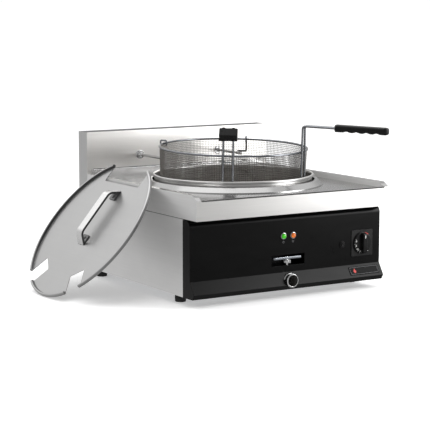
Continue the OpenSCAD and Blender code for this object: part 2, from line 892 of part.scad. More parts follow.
worktop();
basin();
basin_collar();
side_panel_left();
side_panel_right();
rear_panel();
base_pan();
splash_box();
drain_bracket();
bracket_screws();
rear_screws();
fascia();
lever_recess();
knob_plate();
badge_plate();
reset_bezel();
green_lamp_bezel();
green_lamp_lens();
amber_lamp_bezel();
amber_lamp_lens();
thermostat_body();
thermostat_bulb();
cut_out_body();
contactor();
terminal_block();
cable_gland();
gland_nut();
element_outer();
element_inner();
element_nuts();
drain_pipe();
valve_body();
drain_spout();
foot_front_left();
foot_front_right();
foot_rear_left();
foot_rear_right();
foot_studs();
foot_nuts();
valve_ball();
valve_stem();
valve_nut();
valve_lever();
thermostat_knob();
knob_spindle();
reset_button();
basket_mesh();
basket_rim();
basket_base_ring();
long_handle_rods();
long_handle_grip();
side_handle_rods();
side_handle_grip();
basket_hooks();
lid();
lid_handle();
lid_rivets();
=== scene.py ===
import json
import math

import bmesh
import bpy
import numpy as np
from mathutils import Matrix, Vector


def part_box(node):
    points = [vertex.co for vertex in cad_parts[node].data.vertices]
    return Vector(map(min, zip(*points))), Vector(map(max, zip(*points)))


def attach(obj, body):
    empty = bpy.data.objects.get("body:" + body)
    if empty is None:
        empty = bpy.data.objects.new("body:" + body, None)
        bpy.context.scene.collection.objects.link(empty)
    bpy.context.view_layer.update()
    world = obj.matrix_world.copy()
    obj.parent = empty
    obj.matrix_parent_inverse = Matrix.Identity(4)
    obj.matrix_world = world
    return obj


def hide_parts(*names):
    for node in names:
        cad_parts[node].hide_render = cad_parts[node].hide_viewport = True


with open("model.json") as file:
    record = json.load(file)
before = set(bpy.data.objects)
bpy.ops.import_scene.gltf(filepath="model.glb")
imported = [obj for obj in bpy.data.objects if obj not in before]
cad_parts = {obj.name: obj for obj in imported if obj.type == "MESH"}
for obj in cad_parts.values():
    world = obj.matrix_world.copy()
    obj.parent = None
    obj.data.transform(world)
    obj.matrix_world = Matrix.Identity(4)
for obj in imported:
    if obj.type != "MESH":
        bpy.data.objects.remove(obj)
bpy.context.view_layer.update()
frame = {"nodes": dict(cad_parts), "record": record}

RECORD = frame["record"]
NODE_SLOT = {s["node"]: s["material_slot"] for s in RECORD["subparts"]}
NODE_BODY = {n: body for body, names in RECORD["behaviour"]["bodies"].items() for n in names}
MM = 0.001

# Body coordinates, in millimetres: x from the left side, y back from the apron's front, z up.
ORIGIN = Vector((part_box("splash_box")[0].x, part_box("worktop")[0].y, 0))
BODY = Matrix.Translation(ORIGIN) @ Matrix.Scale(MM, 4)
BODY_W, MID_X = 600, 300
DECK_Z, BASIN_R, BASIN_Y, LIP_TOP = 273, 214, 305, 302


def degrees(a):
    """An angle given in degrees, as Blender wants it: in radians."""
    return math.radians(a)


def turned(x, y, z, *turns):
    """Matrix: a place in body coordinates, then turns such as ("X", 30)."""
    m = BODY @ Matrix.Translation((x, y, z))
    for axis, angle in turns:
        m = m @ Matrix.Rotation(degrees(angle), 4, axis)
    return m


BASIN = turned(MID_X, BASIN_Y, 0)
BASKET = turned(MID_X, BASIN_Y, 372, ("X", 1.8), ("Z", -2))
# The lid stands on its edge on the floor and leans on the worktop's left rim.
LID_R, LID_Y = 220, 380
RIM_TOP, LID_REACH, LEAN_GAP = 288, 243, 0.4
LID_SLOPE = (math.degrees(math.atan2(RIM_TOP, LID_REACH))
             + math.degrees(math.asin(LEAN_GAP / math.hypot(RIM_TOP, LID_REACH))))
LID = (turned(-LID_REACH, LID_Y, 0, ("Y", -LID_SLOPE), ("Z", -90))
       @ Matrix.Translation((0, LID_R, 0)))
FACING = ("X", 90)      # turns +Z of a lathed piece towards the front (-Y)


# ---- materials ----------------------------------------------------------------------------

class Nodes:
    """Short way to build a node tree: sockets and numbers go in as inputs."""

    def __init__(self, name):
        self.material = bpy.data.materials.new(name)
        self.material.use_nodes = True
        self.tree = self.material.node_tree
        self.tree.nodes.clear()
        self.coord = self.add("ShaderNodeTexCoord").outputs["Object"]

    def add(self, kind, inputs=None, **settings):
        made = self.tree.nodes.new(kind)
        for key, value in settings.items():
            setattr(made, key, value)
        for key, value in (inputs or {}).items():
            if isinstance(value, bpy.types.NodeSocket):
                self.tree.links.new(value, made.inputs[key])
            else:
                made.inputs[key].default_value = value
        return made

    def noise(self, scale, detail=3.0, rough=0.55, stretch=None, distortion=0.0):
        vector = self.coord
        if stretch:
            vector = self.add("ShaderNodeMapping", {"Vector": vector, "Scale": stretch}).outputs[0]
        return self.add("ShaderNodeTexNoise", {"Vector": vector, "Scale": scale, "Detail": detail,
                                               "Roughness": rough, "Distortion": distortion}
                        ).outputs["Fac"]

    def cells(self, scale, output="Distance"):
        return self.add("ShaderNodeTexVoronoi",
                        {"Vector": self.coord, "Scale": scale}).outputs[output]

    def spread(self, value, low, high, start=0.3, end=0.7):
        """Maps start..end of a texture to low..high."""
        return self.add("ShaderNodeMapRange", {"Value": value, "From Min": start, "From Max": end,
                                               "To Min": low, "To Max": high}).outputs[0]

    def math(self, operation, a, b):
        return self.add("ShaderNodeMath", {0: a, 1: b}, operation=operation).outputs[0]

    def mix(self, factor, a, b):
        made = self.add("ShaderNodeMix", data_type="RGBA")
        for socket, value in ((made.inputs[0], factor), (made.inputs[6], a), (made.inputs[7], b)):
            if isinstance(value, bpy.types.NodeSocket):
                self.tree.links.new(value, socket)
            else:
                socket.default_value = value
        return made.outputs[2]

    def height(self, axis="Z"):
        return self.add("ShaderNodeSeparateXYZ", {"Vector": self.coord}).outputs[axis]

    def bump(self, height, strength, distance):
        return self.add("ShaderNodeBump", {"Height": height, "Strength": strength,
                                           "Distance": distance}).outputs[0]

    def finish(self, **inputs):
        shader = self.add("ShaderNodeBsdfPrincipled",
                          {key.replace("_", " "): value for key, value in inputs.items()})
        out = self.add("ShaderNodeOutputMaterial")
        self.tree.links.new(shader.outputs[0], out.inputs["Surface"])
        return self.material


def grey(v, warm=0.0):
    return (v * (1 + warm), v, v * (1 - 1.6 * warm), 1)


def brushed(name, base, rough, along, warm=0.0, streak=0.05):
    """Satin brushed sheet: streaks along one axis, smudges, faint large variation."""
    n = Nodes(name)
    stretch = [1.0, 1.0, 1.0]
    stretch["XYZ".index(along)] = 0.012
    fine = n.noise(950, 4, 0.65, stretch)
    broad = n.noise(90, 3, 0.6, stretch)
    smudge = n.noise(11, 5, 0.6, distortion=0.6)
    marks = n.math("ADD", n.spread(fine, -0.5 * streak, 0.5 * streak),
                   n.spread(broad, -0.3 * streak, 0.3 * streak))
    shade = n.math("ADD", marks, 0.5)
    colour = n.mix(n.spread(shade, 0, 1, 0.5 - streak, 0.5 + streak),
                   grey(base * 0.93, warm), grey(base * 1.05, warm))
    colour = n.mix(n.spread(smudge, 0.0, 0.25), colour, grey(base * 0.9, warm))
    roughness = n.math("ADD", n.math("ADD", marks, n.spread(smudge, -0.012, 0.018)), rough)
    return n.finish(Base_Color=colour, Metallic=1.0, Roughness=roughness,
                    Normal=n.bump(fine, 0.03, 0.0001))


def polished(name, base, rough, cast=(1, 1, 1)):
    """Plated or drawn bright metal with light handling marks."""
    n = Nodes(name)
    haze = n.noise(60, 5, 0.6)
    scratch = n.noise(400, 3, 0.7, (1, 0.06, 1), 0.4)
    pale = tuple(base * c for c in cast) + (1,)
    dull = tuple(0.8 * base * c for c in cast) + (1,)
    return n.finish(Base_Color=n.mix(n.spread(haze, 0, 1, 0.35, 0.7), pale, dull), Metallic=1.0,
                    Roughness=n.math("ADD", n.spread(haze, -0.03, 0.09), rough),
                    Normal=n.bump(scratch, 0.04, 0.0001))


def moulded(name, base, rough, grain=1500, depth=0.14, spec=0.5):
    """Moulded plastic or rubber: fine grain, faint mottling, rubbed patches."""
    n = Nodes(name)
    mottle = n.noise(35, 4, 0.6)
    pits = n.noise(grain, 2, 0.6)
    colour = n.mix(n.spread(mottle, 0, 1), grey(base * 0.75), grey(base * 1.35))
    return n.finish(Base_Color=colour, Specular_IOR_Level=spec,
                    Roughness=n.math("ADD", n.spread(mottle, -0.06, 0.08), rough),
                    Normal=n.bump(pits, depth, 0.00015))


def coated(name, base, rough, spec):
    """Baked coating on sheet metal: orange peel, dust-fine variation and wiping marks."""
    n = Nodes(name)
    peel = n.noise(420, 2, 0.5)
    wipe = n.noise(26, 4, 0.6, (0.35, 1, 1), 1.2)
    colour = n.mix(n.spread(wipe, 0, 1), grey(base * 0.8), grey(base * 1.3))
    return n.finish(Base_Color=colour, Specular_IOR_Level=spec,
                    Roughness=n.math("ADD", n.spread(wipe, -0.02, 0.03), rough),
                    Normal=n.bump(peel, 0.04, 0.0001))


def spangled(name, base):
    """Galvanised sheet with its crystal pattern."""
    n = Nodes(name)
    crystal = n.cells(130, "Color")
    tone = n.add("ShaderNodeSeparateColor", {"Color": crystal}).outputs[0]
    soft = n.noise(18, 4)
    colour = n.mix(tone, grey(base * 0.82, -0.02), grey(base * 1.08, -0.02))
    return n.finish(Base_Color=n.mix(n.spread(soft, 0, 0.25), colour, grey(base * 0.8)),
                    Metallic=1.0, Roughness=n.spread(tone, 0.34, 0.5, 0, 1),
                    Normal=n.bump(soft, 0.05, 0.0002))


def heated(name, base, low, high):
    """Stainless steel that has been hot: brushed around, with a straw tint towards the bottom."""
    n = Nodes(name)
    around = n.noise(9, 4, 0.6, (1, 1, 60))
    wander = n.noise(14, 4, 0.6)
    level = n.math("ADD", n.height(), n.spread(wander, -0.02, 0.02))
    tint = n.spread(level, 1, 0, low, high)
    steel = n.mix(around, grey(base * 0.85, 0.01), grey(base * 1.1, 0.01))
    straw = n.mix(wander, (0.34, 0.23, 0.12, 1), (0.42, 0.33, 0.2, 1))
    return n.finish(Base_Color=n.mix(n.math("MULTIPLY", tint, 0.6), steel, straw), Metallic=1.0,
                    Roughness=n.spread(around, 0.24, 0.4), Normal=n.bump(around, 0.08, 0.0002))


def oxidised(name, base):
    """Dark scaled or weathered metal with a rough crust."""
    n = Nodes(name)
    crust = n.noise(220, 5, 0.7)
    patch = n.noise(45, 4, 0.6)
    colour = n.mix(n.spread(patch, 0, 1), grey(base * 0.6, 0.08), grey(base * 1.3, 0.03))
    return n.finish(Base_Color=colour, Metallic=0.7, Roughness=n.spread(crust, 0.45, 0.7),
                    Normal=n.bump(crust, 0.25, 0.0002))


def jewel(name, colour, deep):
    """Moulded lamp lens: clear tinted plastic with small prisms."""
    n = Nodes(name)
    prisms = n.cells(900)
    shade = n.noise(260, 2)
    return n.finish(Base_Color=n.mix(n.spread(shade, 0, 1), colour, deep), Roughness=0.13,
                    Transmission_Weight=0.35, IOR=1.49, Coat_Weight=0.35, Coat_Roughness=0.04,
                    Emission_Color=colour, Emission_Strength=0.22,
                    Normal=n.bump(prisms, 0.35, 0.0002))


def printed(name, colour):
    """Screen-printed ink, a little uneven."""
    n = Nodes(name)
    cover = n.noise(700, 3, 0.6)
    worn = tuple(0.78 * c for c in colour[:3]) + (1,)
    return n.finish(Base_Color=n.mix(n.spread(cover, 0, 1), worn, colour), Roughness=0.5,
                    Normal=n.bump(cover, 0.1, 0.0001))


MATS = {
    "stainless_satin": brushed("stainless_satin", 0.80, 0.30, "X", 0.012, 0.04),
    "stainless_inner": heated("stainless_inner", 0.60, 0.13, 0.29),
    "galvanised": spangled("galvanised", 0.60),
    "black_fascia": coated("black_fascia", 0.0008, 0.29, 0.14),
    "black_plate": coated("black_plate", 0.008, 0.34, 0.25),
    "black_plastic": moulded("black_plastic", 0.004, 0.30, spec=0.2),
    "black_rubber": moulded("black_rubber", 0.012, 0.62, 900, 0.25, 0.3),
    "chrome": polished("chrome", 0.80, 0.12),
    "green_lens": jewel("green_lens", (0.08, 0.62, 0.02, 1), (0.03, 0.34, 0.01, 1)),
    "amber_lens": jewel("amber_lens", (0.74, 0.20, 0.02, 1), (0.46, 0.09, 0.01, 1)),
    "control_body": moulded("control_body", 0.42, 0.5, 900, 0.1),
    "ivory_plastic": moulded("ivory_plastic", 0.55, 0.45, 900, 0.1),
    "copper_bulb": polished("copper_bulb", 0.8, 0.25, (0.95, 0.56, 0.38)),
    "heater_steel": oxidised("heater_steel", 0.16),
    "basket_wire": polished("basket_wire", 0.26, 0.16, (0.95, 0.98, 1.04)),
}
# Painted light: a lighter copy of the satin steel for the body's side faces, brushed along Y.
LIT_SIDE_STEEL = brushed("stainless_side_lit", 0.88, 0.36, "Y", 0.004)
# Painted shade: a darker, more polished copy for the worktop's upward faces.
SHADED_DECK_STEEL = brushed("stainless_deck_shaded", 0.40, 0.17, "X", 0.004)
# Painted shade: a near-black copy of the steel for the splash box's top.
SHADED_TOP_STEEL = brushed("stainless_top_shaded", 0.055, 0.34, "X", -0.004)
# Painted light: a lighter copy of the steel for the splash box.
LIT_SPLASH_STEEL = brushed("stainless_splash_lit", 0.87, 0.32, "X", 0.018, 0.035)
# Painted shade: near-black steel for the inner wall of the lid's raised edge.
SHADED_EDGE_INSIDE = brushed("edge_inside_shaded", 0.10, 0.35, "Y")
# Painted shade: a darker copy of the steel for the splash box's side faces.
SHADED_EDGE_STEEL = brushed("stainless_edge_shaded", 0.62, 0.38, "Z", 0.002)
STEEL_LID = brushed("stainless_lid", 0.50, 0.34, "Y", 0.003)
# Painted light: a lighter, shinier copy of the steel for the lid handle, the upstand's front and
# its hem.
LIT_STRAP_STEEL = brushed("stainless_strap_lit", 0.86, 0.24, "Y", 0.004)
# Painted shade: darker steel for the outer wall of the lid's raised edge.
SHADED_EDGE_OUTSIDE = brushed("edge_outside_shaded", 0.36, 0.30, "Y", 0.002)
# Painted shade: dark steel for the handle's sides, tabs and rivets.
SHADED_STRAP_EDGE = brushed("strap_edge_shaded", 0.16, 0.30, "Y", 0.002)
STEEL_COLLAR = brushed("stainless_collar", 0.38, 0.20, "X", 0.006)
LEVER_STEEL = polished("lever_steel", 0.42, 0.26, (0.92, 0.98, 1.06))
BEZEL_CHROME = polished("bezel_chrome", 0.42, 0.14)
VALVE_STEEL = oxidised("valve_steel", 0.05)
MESH_WIRE = polished("mesh_wire", 0.22, 0.30, (1.04, 0.98, 0.92))
BADGE_BLACK = coated("badge_black", 0.001, 0.22, 0.05)
WHITE_INK = printed("white_ink", (0.8, 0.8, 0.78, 1))
RED_INK = printed("red_ink", (0.62, 0.03, 0.02, 1))
GREY_INK = printed("grey_ink", (0.17, 0.17, 0.18, 1))
# Near-black plastic for painted shadow lines and a painted dark reflection on the body.
PAINTED_DARK = moulded("painted_dark", 0.01, 0.7)

for name, obj in frame["nodes"].items():
    obj.data.materials.clear()
    obj.data.materials.append(MATS[NODE_SLOT[name]])


# ---- shapes -------------------------------------------------------------------------------

MERGE = 0.01


def fillet(points, radius, steps=4, closed=False):
    """The same line with each corner rounded. radius is one number, or one for each point."""
    pts = [Vector(p).to_3d() if len(p) == 2 else Vector(p) for p in points]
    radii = radius if isinstance(radius, (list, tuple)) else [radius] * len(pts)
    out = []
    for i, p in enumerate(pts):
        if radii[i] <= 0 or (not closed and i in (0, len(pts) - 1)):
            out.append(p)
            continue
        a, b = pts[i - 1] - p, pts[(i + 1) % len(pts)] - p
        half = a.angle(b) / 2
        if half > degrees(89):
            out.append(p)
            continue
        cut = min(radii[i] / math.tan(half), 0.49 * a.length, 0.49 * b.length)
        r = cut * math.tan(half)
        a.normalize(), b.normalize()
        centre = p + (a + b).normalized() * (r / math.sin(half))
        first, last = p + a * cut - centre, p + b * cut - centre
        whole = first.angle(last)
        for k in range(steps + 1):
            t = k / steps
            out.append(centre + (first * math.sin((1 - t) * whole) + last * math.sin(t * whole))
                       / math.sin(whole))
    return out


def lathe(profile, steps=96):
    """Turns a closed (r, z) outline around Z."""
    verts = [(p[0] * math.cos(a), p[0] * math.sin(a), p[1])
             for a in (2 * math.pi * k / steps for k in range(steps)) for p in profile]
    n = len(profile)
    faces = [(k * n + i, k * n + (i + 1) % n, (k + 1) % steps * n + (i + 1) % n,
              (k + 1) % steps * n + i)
             for k in range(steps) for i in range(n)]
    return verts, faces


def sweep(path, section, loop=False):
    """Carries a closed (across, up) outline along a path without twisting."""
    pts = [Vector(p) for p in path]
    count, verts, normal = len(pts), [], None
    for i, p in enumerate(pts):
        before = pts[i - 1] if i or loop else p
        after = pts[(i + 1) % count] if i < count - 1 or loop else p
        tangent = (after - before).normalized()
        if normal is None:
            normal = Vector((0, 0, 1)) if abs(tangent.z) < 0.95 else Vector((1, 0, 0))
        normal = (normal - tangent * normal.dot(tangent)).normalized()
        across = tangent.cross(normal)
        verts += [p + across * s[0] + normal * s[1] for s in section]
    m = len(section)
    faces = [(i * m + k, i * m + (k + 1) % m, (i + 1) % count * m + (k + 1) % m,
              (i + 1) % count * m + k)
             for i in range(count if loop else count - 1) for k in range(m)]
    if not loop:
        faces += [tuple(range(m))[::-1], tuple(range((count - 1) * m, count * m))]
    return verts, faces


def circle(r, steps=16):
    return [(r * math.cos(2 * math.pi * k / steps), r * math.sin(2 * math.pi * k / steps))
            for k in range(steps)]


def arc(r, angles, x=0, y=0):
    """Points on a circle round (x, y), at angles in degrees."""
    return [(x + r * math.cos(degrees(a)), y + r * math.sin(degrees(a))) for a in angles]


def ribbon(half, low, high):
    """Flat section for sweep: raised or printed lines."""
    return [(-half, low), (half, low), (half, high), (-half, high)]


def tube(path, r, bend=0.0, steps=16):
    """Round wire along a path, with its corners rounded to the radius bend."""
    return sweep(fillet(path, bend, 6) if bend else path, circle(r, steps))


def ring(r, z, wire, steps, around):
    """Round wire bent to a circle at height z."""
    return sweep([(x, y, z) for x, y in circle(r, steps)], circle(wire, around), loop=True)


def prism(outline, low, high):
    """Raises an (x, y) outline from z = low to z = high."""
    n = len(outline)
    verts = [(p[0], p[1], z) for z in (low, high) for p in outline]
    faces = [(i, (i + 1) % n, n + (i + 1) % n, n + i) for i in range(n)]
    return verts, faces + [tuple(range(n))[::-1], tuple(range(n, 2 * n))]


def block(x0, y0, z0, x1, y1, z1):
    return prism([(x0, y0), (x1, y0), (x1, y1), (x0, y1)], z0, z1)


def moved(shape, matrix):
    return [matrix @ Vector(v) for v in shape[0]], shape[1]


def joined(*shapes):
    verts, faces = [], []
    for v, f in shapes:
        faces += [tuple(i + len(verts) for i in face) for face in f]
        verts += [tuple(p) for p in v]
    return verts, faces


def build_mesh(name, shape, matrix):
    """Mesh of a shape, in metres in the frame. Points closer than MERGE (mm) become one."""
    data = bpy.data.meshes.new(name)
    data.from_pydata([tuple(v) for v in shape[0]], [], shape[1])
    bm = bmesh.new()
    bm.from_mesh(data)
    bmesh.ops.remove_doubles(bm, verts=bm.verts, dist=MERGE)
    bmesh.ops.dissolve_degenerate(bm, edges=bm.edges, dist=MERGE / 2)
    bmesh.ops.recalc_face_normals(bm, faces=bm.faces)
    bm.transform(matrix)
    bm.to_mesh(data)
    bm.free()
    return data


def bevelled(data, width, steps=2, angle=30):
    """Rounds the edges that are sharper than angle. width is in millimetres."""
    bm = bmesh.new()
    bm.from_mesh(data)
    edges = [e for e in bm.edges if len(e.link_faces) == 2
             and e.calc_face_angle(0) > degrees(angle)]
    bmesh.ops.bevel(bm, geom=edges, offset=width * MM, offset_type="OFFSET", segments=steps,
                    profile=0.5, affect="EDGES", clamp_overlap=True)
    bm.to_mesh(data)
    bm.free()
    return data


def without(data, *cutters):
    """Boolean difference. The cutters are meshes in the frame."""
    base = bpy.data.objects.new("base", data)
    bpy.context.scene.collection.objects.link(base)
    tools = []
    for cutter in cutters:
        tool = bpy.data.objects.new("tool", cutter)
        bpy.context.scene.collection.objects.link(tool)
        tools.append(tool)
        modifier = base.modifiers.new("cut", "BOOLEAN")
        modifier.object, modifier.operation, modifier.solver = tool, "DIFFERENCE", "EXACT"
    bpy.context.view_layer.update()
    made = bpy.data.meshes.new_from_object(base.evaluated_get(
        bpy.context.evaluated_depsgraph_get()))
    for o in [base, *tools]:
        bpy.data.objects.remove(o)
    return made


def piece(name, data, body, slot, material=None, replaces=(), smooth=38, flatten=True):
    """Adds a finished mesh to the scene, on its body. flatten keeps broad faces evenly shaded."""
    data.materials.clear()
    data.materials.append(material or MATS[slot])
    data.polygons.foreach_set("use_smooth", [True] * len(data.polygons))
    data.set_sharp_from_angle(angle=degrees(smooth))
    obj = bpy.data.objects.new(name, data)
    bpy.context.scene.collection.objects.link(obj)
    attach(obj, body)
    if replaces:
        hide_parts(*replaces)
    if flatten:
        shading = obj.modifiers.new("shading", "WEIGHTED_NORMAL")
        shading.keep_sharp, shading.weight = True, 100
    return obj


def extra(name, shape, place, body, slot, material=None):
    """A built piece that has no CAD node of its own."""
    return piece(name, build_mesh(name, shape, place), body, slot, material)


def second_finish(obj, material, place, chosen):
    """Gives another material, a painted shade lighter or darker than the rest, to the faces for
    which chosen(centre, normal) is true there.
    """
    obj.data.materials.append(material)
    slot = len(obj.data.materials) - 1
    inverse = place.inverted()
    turn = inverse.to_3x3()
    for face in obj.data.polygons:
        if chosen(inverse @ face.center, (turn @ face.normal).normalized()):
            face.material_index = slot


def stand_in(node, name, shape, matrix, material=None, bevel=0.0, smooth=38):
    """A built piece that replaces a CAD node and keeps its body and its slot."""
    data = build_mesh(name, shape, matrix)
    if bevel:
        bevelled(data, bevel, 3)
    return piece(name, data, NODE_BODY[node], NODE_SLOT[node], material, (node,), smooth)


def softened(node, width, material=None, sides=None, tops=None):
    """Copy of a CAD node with rounded edges, and other materials for its sides and tops: painted
    light and shade, lighter or darker steel for how those faces catch the light.
    """
    data = frame["nodes"][node].data.copy()
    bm = bmesh.new()
    bm.from_mesh(data)
    bmesh.ops.remove_doubles(bm, verts=bm.verts, dist=1e-6)
    bmesh.ops.dissolve_limit(bm, angle_limit=degrees(0.3), verts=bm.verts, edges=bm.edges)
    bm.to_mesh(data)
    bm.free()
    bevelled(data, width)
    made = piece(node + "_finished", data, NODE_BODY[node], NODE_SLOT[node], material, (node,))
    if sides:
        second_finish(made, sides, BODY, lambda centre, normal: abs(normal.x) > 0.7)
    if tops:
        second_finish(made, tops, BODY, lambda centre, normal: normal.z > 0.7)
    return made


# ---- stainless body -----------------------------------------------------------------------

UPSTAND_Y, BEAD_BACK, APRON_MID_Z = 590, 4.2, 255


def upstand_front(centre, normal):
    """True on the front of the worktop's rear upstand."""
    return centre.y > UPSTAND_Y and normal.y < -0.7


def front_bead(centre, normal):
    """True on the upper side of the worktop's front edge, which gets a painted dark reflection of
    the room.
    """
    return centre.y < BEAD_BACK and centre.z > APRON_MID_Z and normal.z > 0.08


# Painted light and shade: the worktop's side faces in lighter steel, its upward faces in darker,
# shinier steel.
worktop = softened("worktop", 0.9, sides=LIT_SIDE_STEEL, tops=SHADED_DECK_STEEL)
# Painted highlight: the front of the rear upstand is in the lighter strap steel.
second_finish(worktop, LIT_STRAP_STEEL, BODY, upstand_front)
# Painted dark reflection on the upper side of the front edge.
second_finish(worktop, PAINTED_DARK, BODY, front_bead)
# The splash box is in painted lighter steel, with painted shade on its side faces and its top.
softened("splash_box", 1.2, LIT_SPLASH_STEEL, sides=SHADED_EDGE_STEEL, tops=SHADED_TOP_STEEL)
# The side panels get the painted lighter side steel.
for side in ("left", "right"):
    softened("side_panel_" + side, 0.5, LIT_SIDE_STEEL)
softened("rear_panel", 0.5)
softened("base_pan", 0.6)

FLOOR_Z, FLOOR_EDGE_Z, SUMP_R, PORT_R = 120, 150, 45, 13
basin_profile = fillet([
    (PORT_R, FLOOR_Z), (SUMP_R, FLOOR_Z + 1), (BASIN_R, FLOOR_EDGE_Z), (BASIN_R, LIP_TOP - 4.5),
    (BASIN_R + 1.2, LIP_TOP), (BASIN_R + 7, LIP_TOP), (BASIN_R + 7, LIP_TOP - 7),
    (BASIN_R + 2, LIP_TOP - 7), (BASIN_R + 2, FLOOR_EDGE_Z - 1), (SUMP_R, FLOOR_Z - 1.5),
    (PORT_R, FLOOR_Z - 2)],
    [0, 8, 14, 3, 2.4, 3.2, 3.2, 0, 14, 8, 0], 5, True)
stand_in("basin", "basin_formed", lathe(basin_profile, 192), BASIN)

collar_profile = fillet([
    (BASIN_R + 31, DECK_Z + 0.05), (BASIN_R + 30.6, DECK_Z + 2), (BASIN_R + 17, DECK_Z + 15),
    (BASIN_R + 8.5, DECK_Z + 15), (BASIN_R + 8.5, DECK_Z + 4), (BASIN_R + 10.5, DECK_Z + 4),
    (BASIN_R + 10.5, DECK_Z + 13), (BASIN_R + 16, DECK_Z + 13), (BASIN_R + 27, DECK_Z + 0.05)],
    [0, 4, 6, 1.5, 0, 0, 1, 4, 0], 5, True)
stand_in("basin_collar", "collar_formed", lathe(collar_profile, 192), BASIN, STEEL_COLLAR)

# Rolled hem on the worktop's rear upstand, in the lighter strap steel as a painted highlight, and
# dark strips of painted shadow above it, under the skirts and along the top of the apron.
HEM_Y, HEM_Z, HEM_R, RIM_IN = 594.9, 298.8, 1.4, 20
extra("upstand_hem", tube([(RIM_IN, HEM_Y, HEM_Z), (BODY_W - RIM_IN, HEM_Y, HEM_Z)], HEM_R),
      BODY, "fryer", "stainless_satin", LIT_STRAP_STEEL)
SKIRT_Z, SKIRT_BACK, SHADOW_LINE = 224.4, 594, 1.5
CREASE_Z, CREASE, RIM_W, APRON_TOP = 283.6, 1.2, 14, 275.1
hem_top = HEM_Z + HEM_R
shadow_lines = [block(RIM_IN, HEM_Y + 0.6, hem_top, BODY_W - RIM_IN, HEM_Y + 1.3, hem_top + SHADOW_LINE),
         block(RIM_IN, HEM_Y - 0.3, CREASE_Z, BODY_W - RIM_IN, HEM_Y + 0.3, CREASE_Z + CREASE),
         block(RIM_W, -0.15, APRON_TOP - SHADOW_LINE, BODY_W - RIM_W, 0.2, APRON_TOP)]
shadow_lines += [block(x, 40, SKIRT_Z - SHADOW_LINE, x + 0.5, SKIRT_BACK, SKIRT_Z) for x in (0.9, BODY_W - 1.4)]
extra("painted_shadow_lines", joined(*shadow_lines), BODY, "fryer", "stainless_satin", PAINTED_DARK)

# Oil level marks pressed into the basin's wall.
LEVELS = (196, 238)
marks = [moved(block(-14, -0.5, -0.7, 14, 0, 0.7), Matrix.Translation((0, BASIN_R - 0.1, z)))
         for z in LEVELS]
extra("oil_level_marks", joined(*marks), BASIN, "fryer", "stainless_inner")

# ---- black fascia and controls ------------------------------------------------------------

softened("fascia", 0.8)
softened("lever_recess", 0.4)
FACE_Y = 35.8
KNOB_X, KNOB_Z, RESET_X = 539, 124, 474
LAMP_Z, LAMP_R, LAMP_APART = 162, 6.5, 15
PLATE_HALF = 35

plate = fillet([(-PLATE_HALF, -PLATE_HALF), (PLATE_HALF, -PLATE_HALF), (PLATE_HALF, PLATE_HALF),
                (-PLATE_HALF, PLATE_HALF)], 2.5, 4, True)
stand_in("knob_plate", "knob_plate_formed", prism(plate, 0.05, 2.05),
         turned(KNOB_X, FACE_Y, KNOB_Z, FACING), bevel=0.5)

SKIRT_R, SKIRT_T, BAR_T, KNOB_BACK = 29.5, 5, 11, 33.5
KNOB = turned(KNOB_X, KNOB_BACK, KNOB_Z, FACING)
skirt = lathe(fillet([(0, 0), (SKIRT_R, 0), (SKIRT_R, SKIRT_T - 1.4), (SKIRT_R - 4, SKIRT_T),
                      (11, SKIRT_T), (0, SKIRT_T)], [0, 0.6, 1.2, 2, 0, 0], 4, True), 120)
bar_side = fillet([(-SKIRT_R + 1, SKIRT_T - 0.5), (SKIRT_R - 1, SKIRT_T - 0.5),
                   (SKIRT_R - 3, SKIRT_T + BAR_T), (-SKIRT_R + 3, SKIRT_T + BAR_T)],
                  [0, 0, 5, 5], 5, True)
BAR_HALF = 6.5
bar = moved(prism(bar_side, -BAR_HALF, BAR_HALF),
            Matrix.Rotation(degrees(90), 4, "Z") @ Matrix.Rotation(degrees(90), 4, "X"))
bar_data = bevelled(build_mesh("knob_bar", bar, KNOB), 1.6, 3)
piece("knob_bar", bar_data, "knob", "black_plastic")
stand_in("thermostat_knob", "knob_skirt", skirt, KNOB)
bar_top = SKIRT_T + BAR_T
pointer = block(-0.9, SKIRT_R - 16, bar_top - 0.4, 0.9, SKIRT_R - 8, bar_top + 0.08)
extra("knob_pointer", pointer, KNOB, "knob", "black_plastic", WHITE_INK)


def dial_number(value, place):
    """A generic dial number as a mesh."""
    curve = bpy.data.curves.new("dial_number", "FONT")
    curve.body, curve.size, curve.extrude = str(value), NUMBER_SIZE, 0.25
    curve.align_x, curve.align_y = "CENTER", "CENTER"
    holder = bpy.data.objects.new("dial_number", curve)
    bpy.context.scene.collection.objects.link(holder)
    bpy.context.view_layer.update()
    data = bpy.data.meshes.new_from_object(
        holder.evaluated_get(bpy.context.evaluated_depsgraph_get()))
    bpy.data.objects.remove(holder)
    data.transform(place)
    return data


# Angles on the dial are clockwise from the top, seen from the front.
NUMBER_R, NUMBER_SIZE, RED_R = 23.5, 5.2, 28.2
numbers = bmesh.new()
for value, angle in ((60, 285), (90, 255), (120, 225), (150, 200), (180, 160)):
    where = (KNOB @ Matrix.Rotation(degrees(-angle), 4, "Z")
             @ Matrix.Translation((0, NUMBER_R, SKIRT_T - 0.12)))
    numbers.from_mesh(dial_number(value, where))
number_data = bpy.data.meshes.new("knob_numbers")
numbers.to_mesh(number_data)
numbers.free()
piece("knob_numbers", number_data, "knob", "black_plastic", WHITE_INK)
tick = block(-0.35, SKIRT_R - 3.4, SKIRT_T - 0.5, 0.35, SKIRT_R - 1.9, SKIRT_T - 0.2)
ticks = [moved(tick, Matrix.Rotation(degrees(-a), 4, "Z")) for a in range(145, 301, 15)]
extra("knob_ticks", joined(*ticks), KNOB, "knob", "black_plastic", WHITE_INK)
red_arc = [(RED_R * math.sin(degrees(a)), RED_R * math.cos(degrees(a)), SKIRT_T - 0.55)
           for a in range(10, 37, 3)]
extra("knob_red_mark", sweep(red_arc, ribbon(1.1, -0.5, 0.35)), KNOB, "knob", "black_plastic",
      RED_INK)

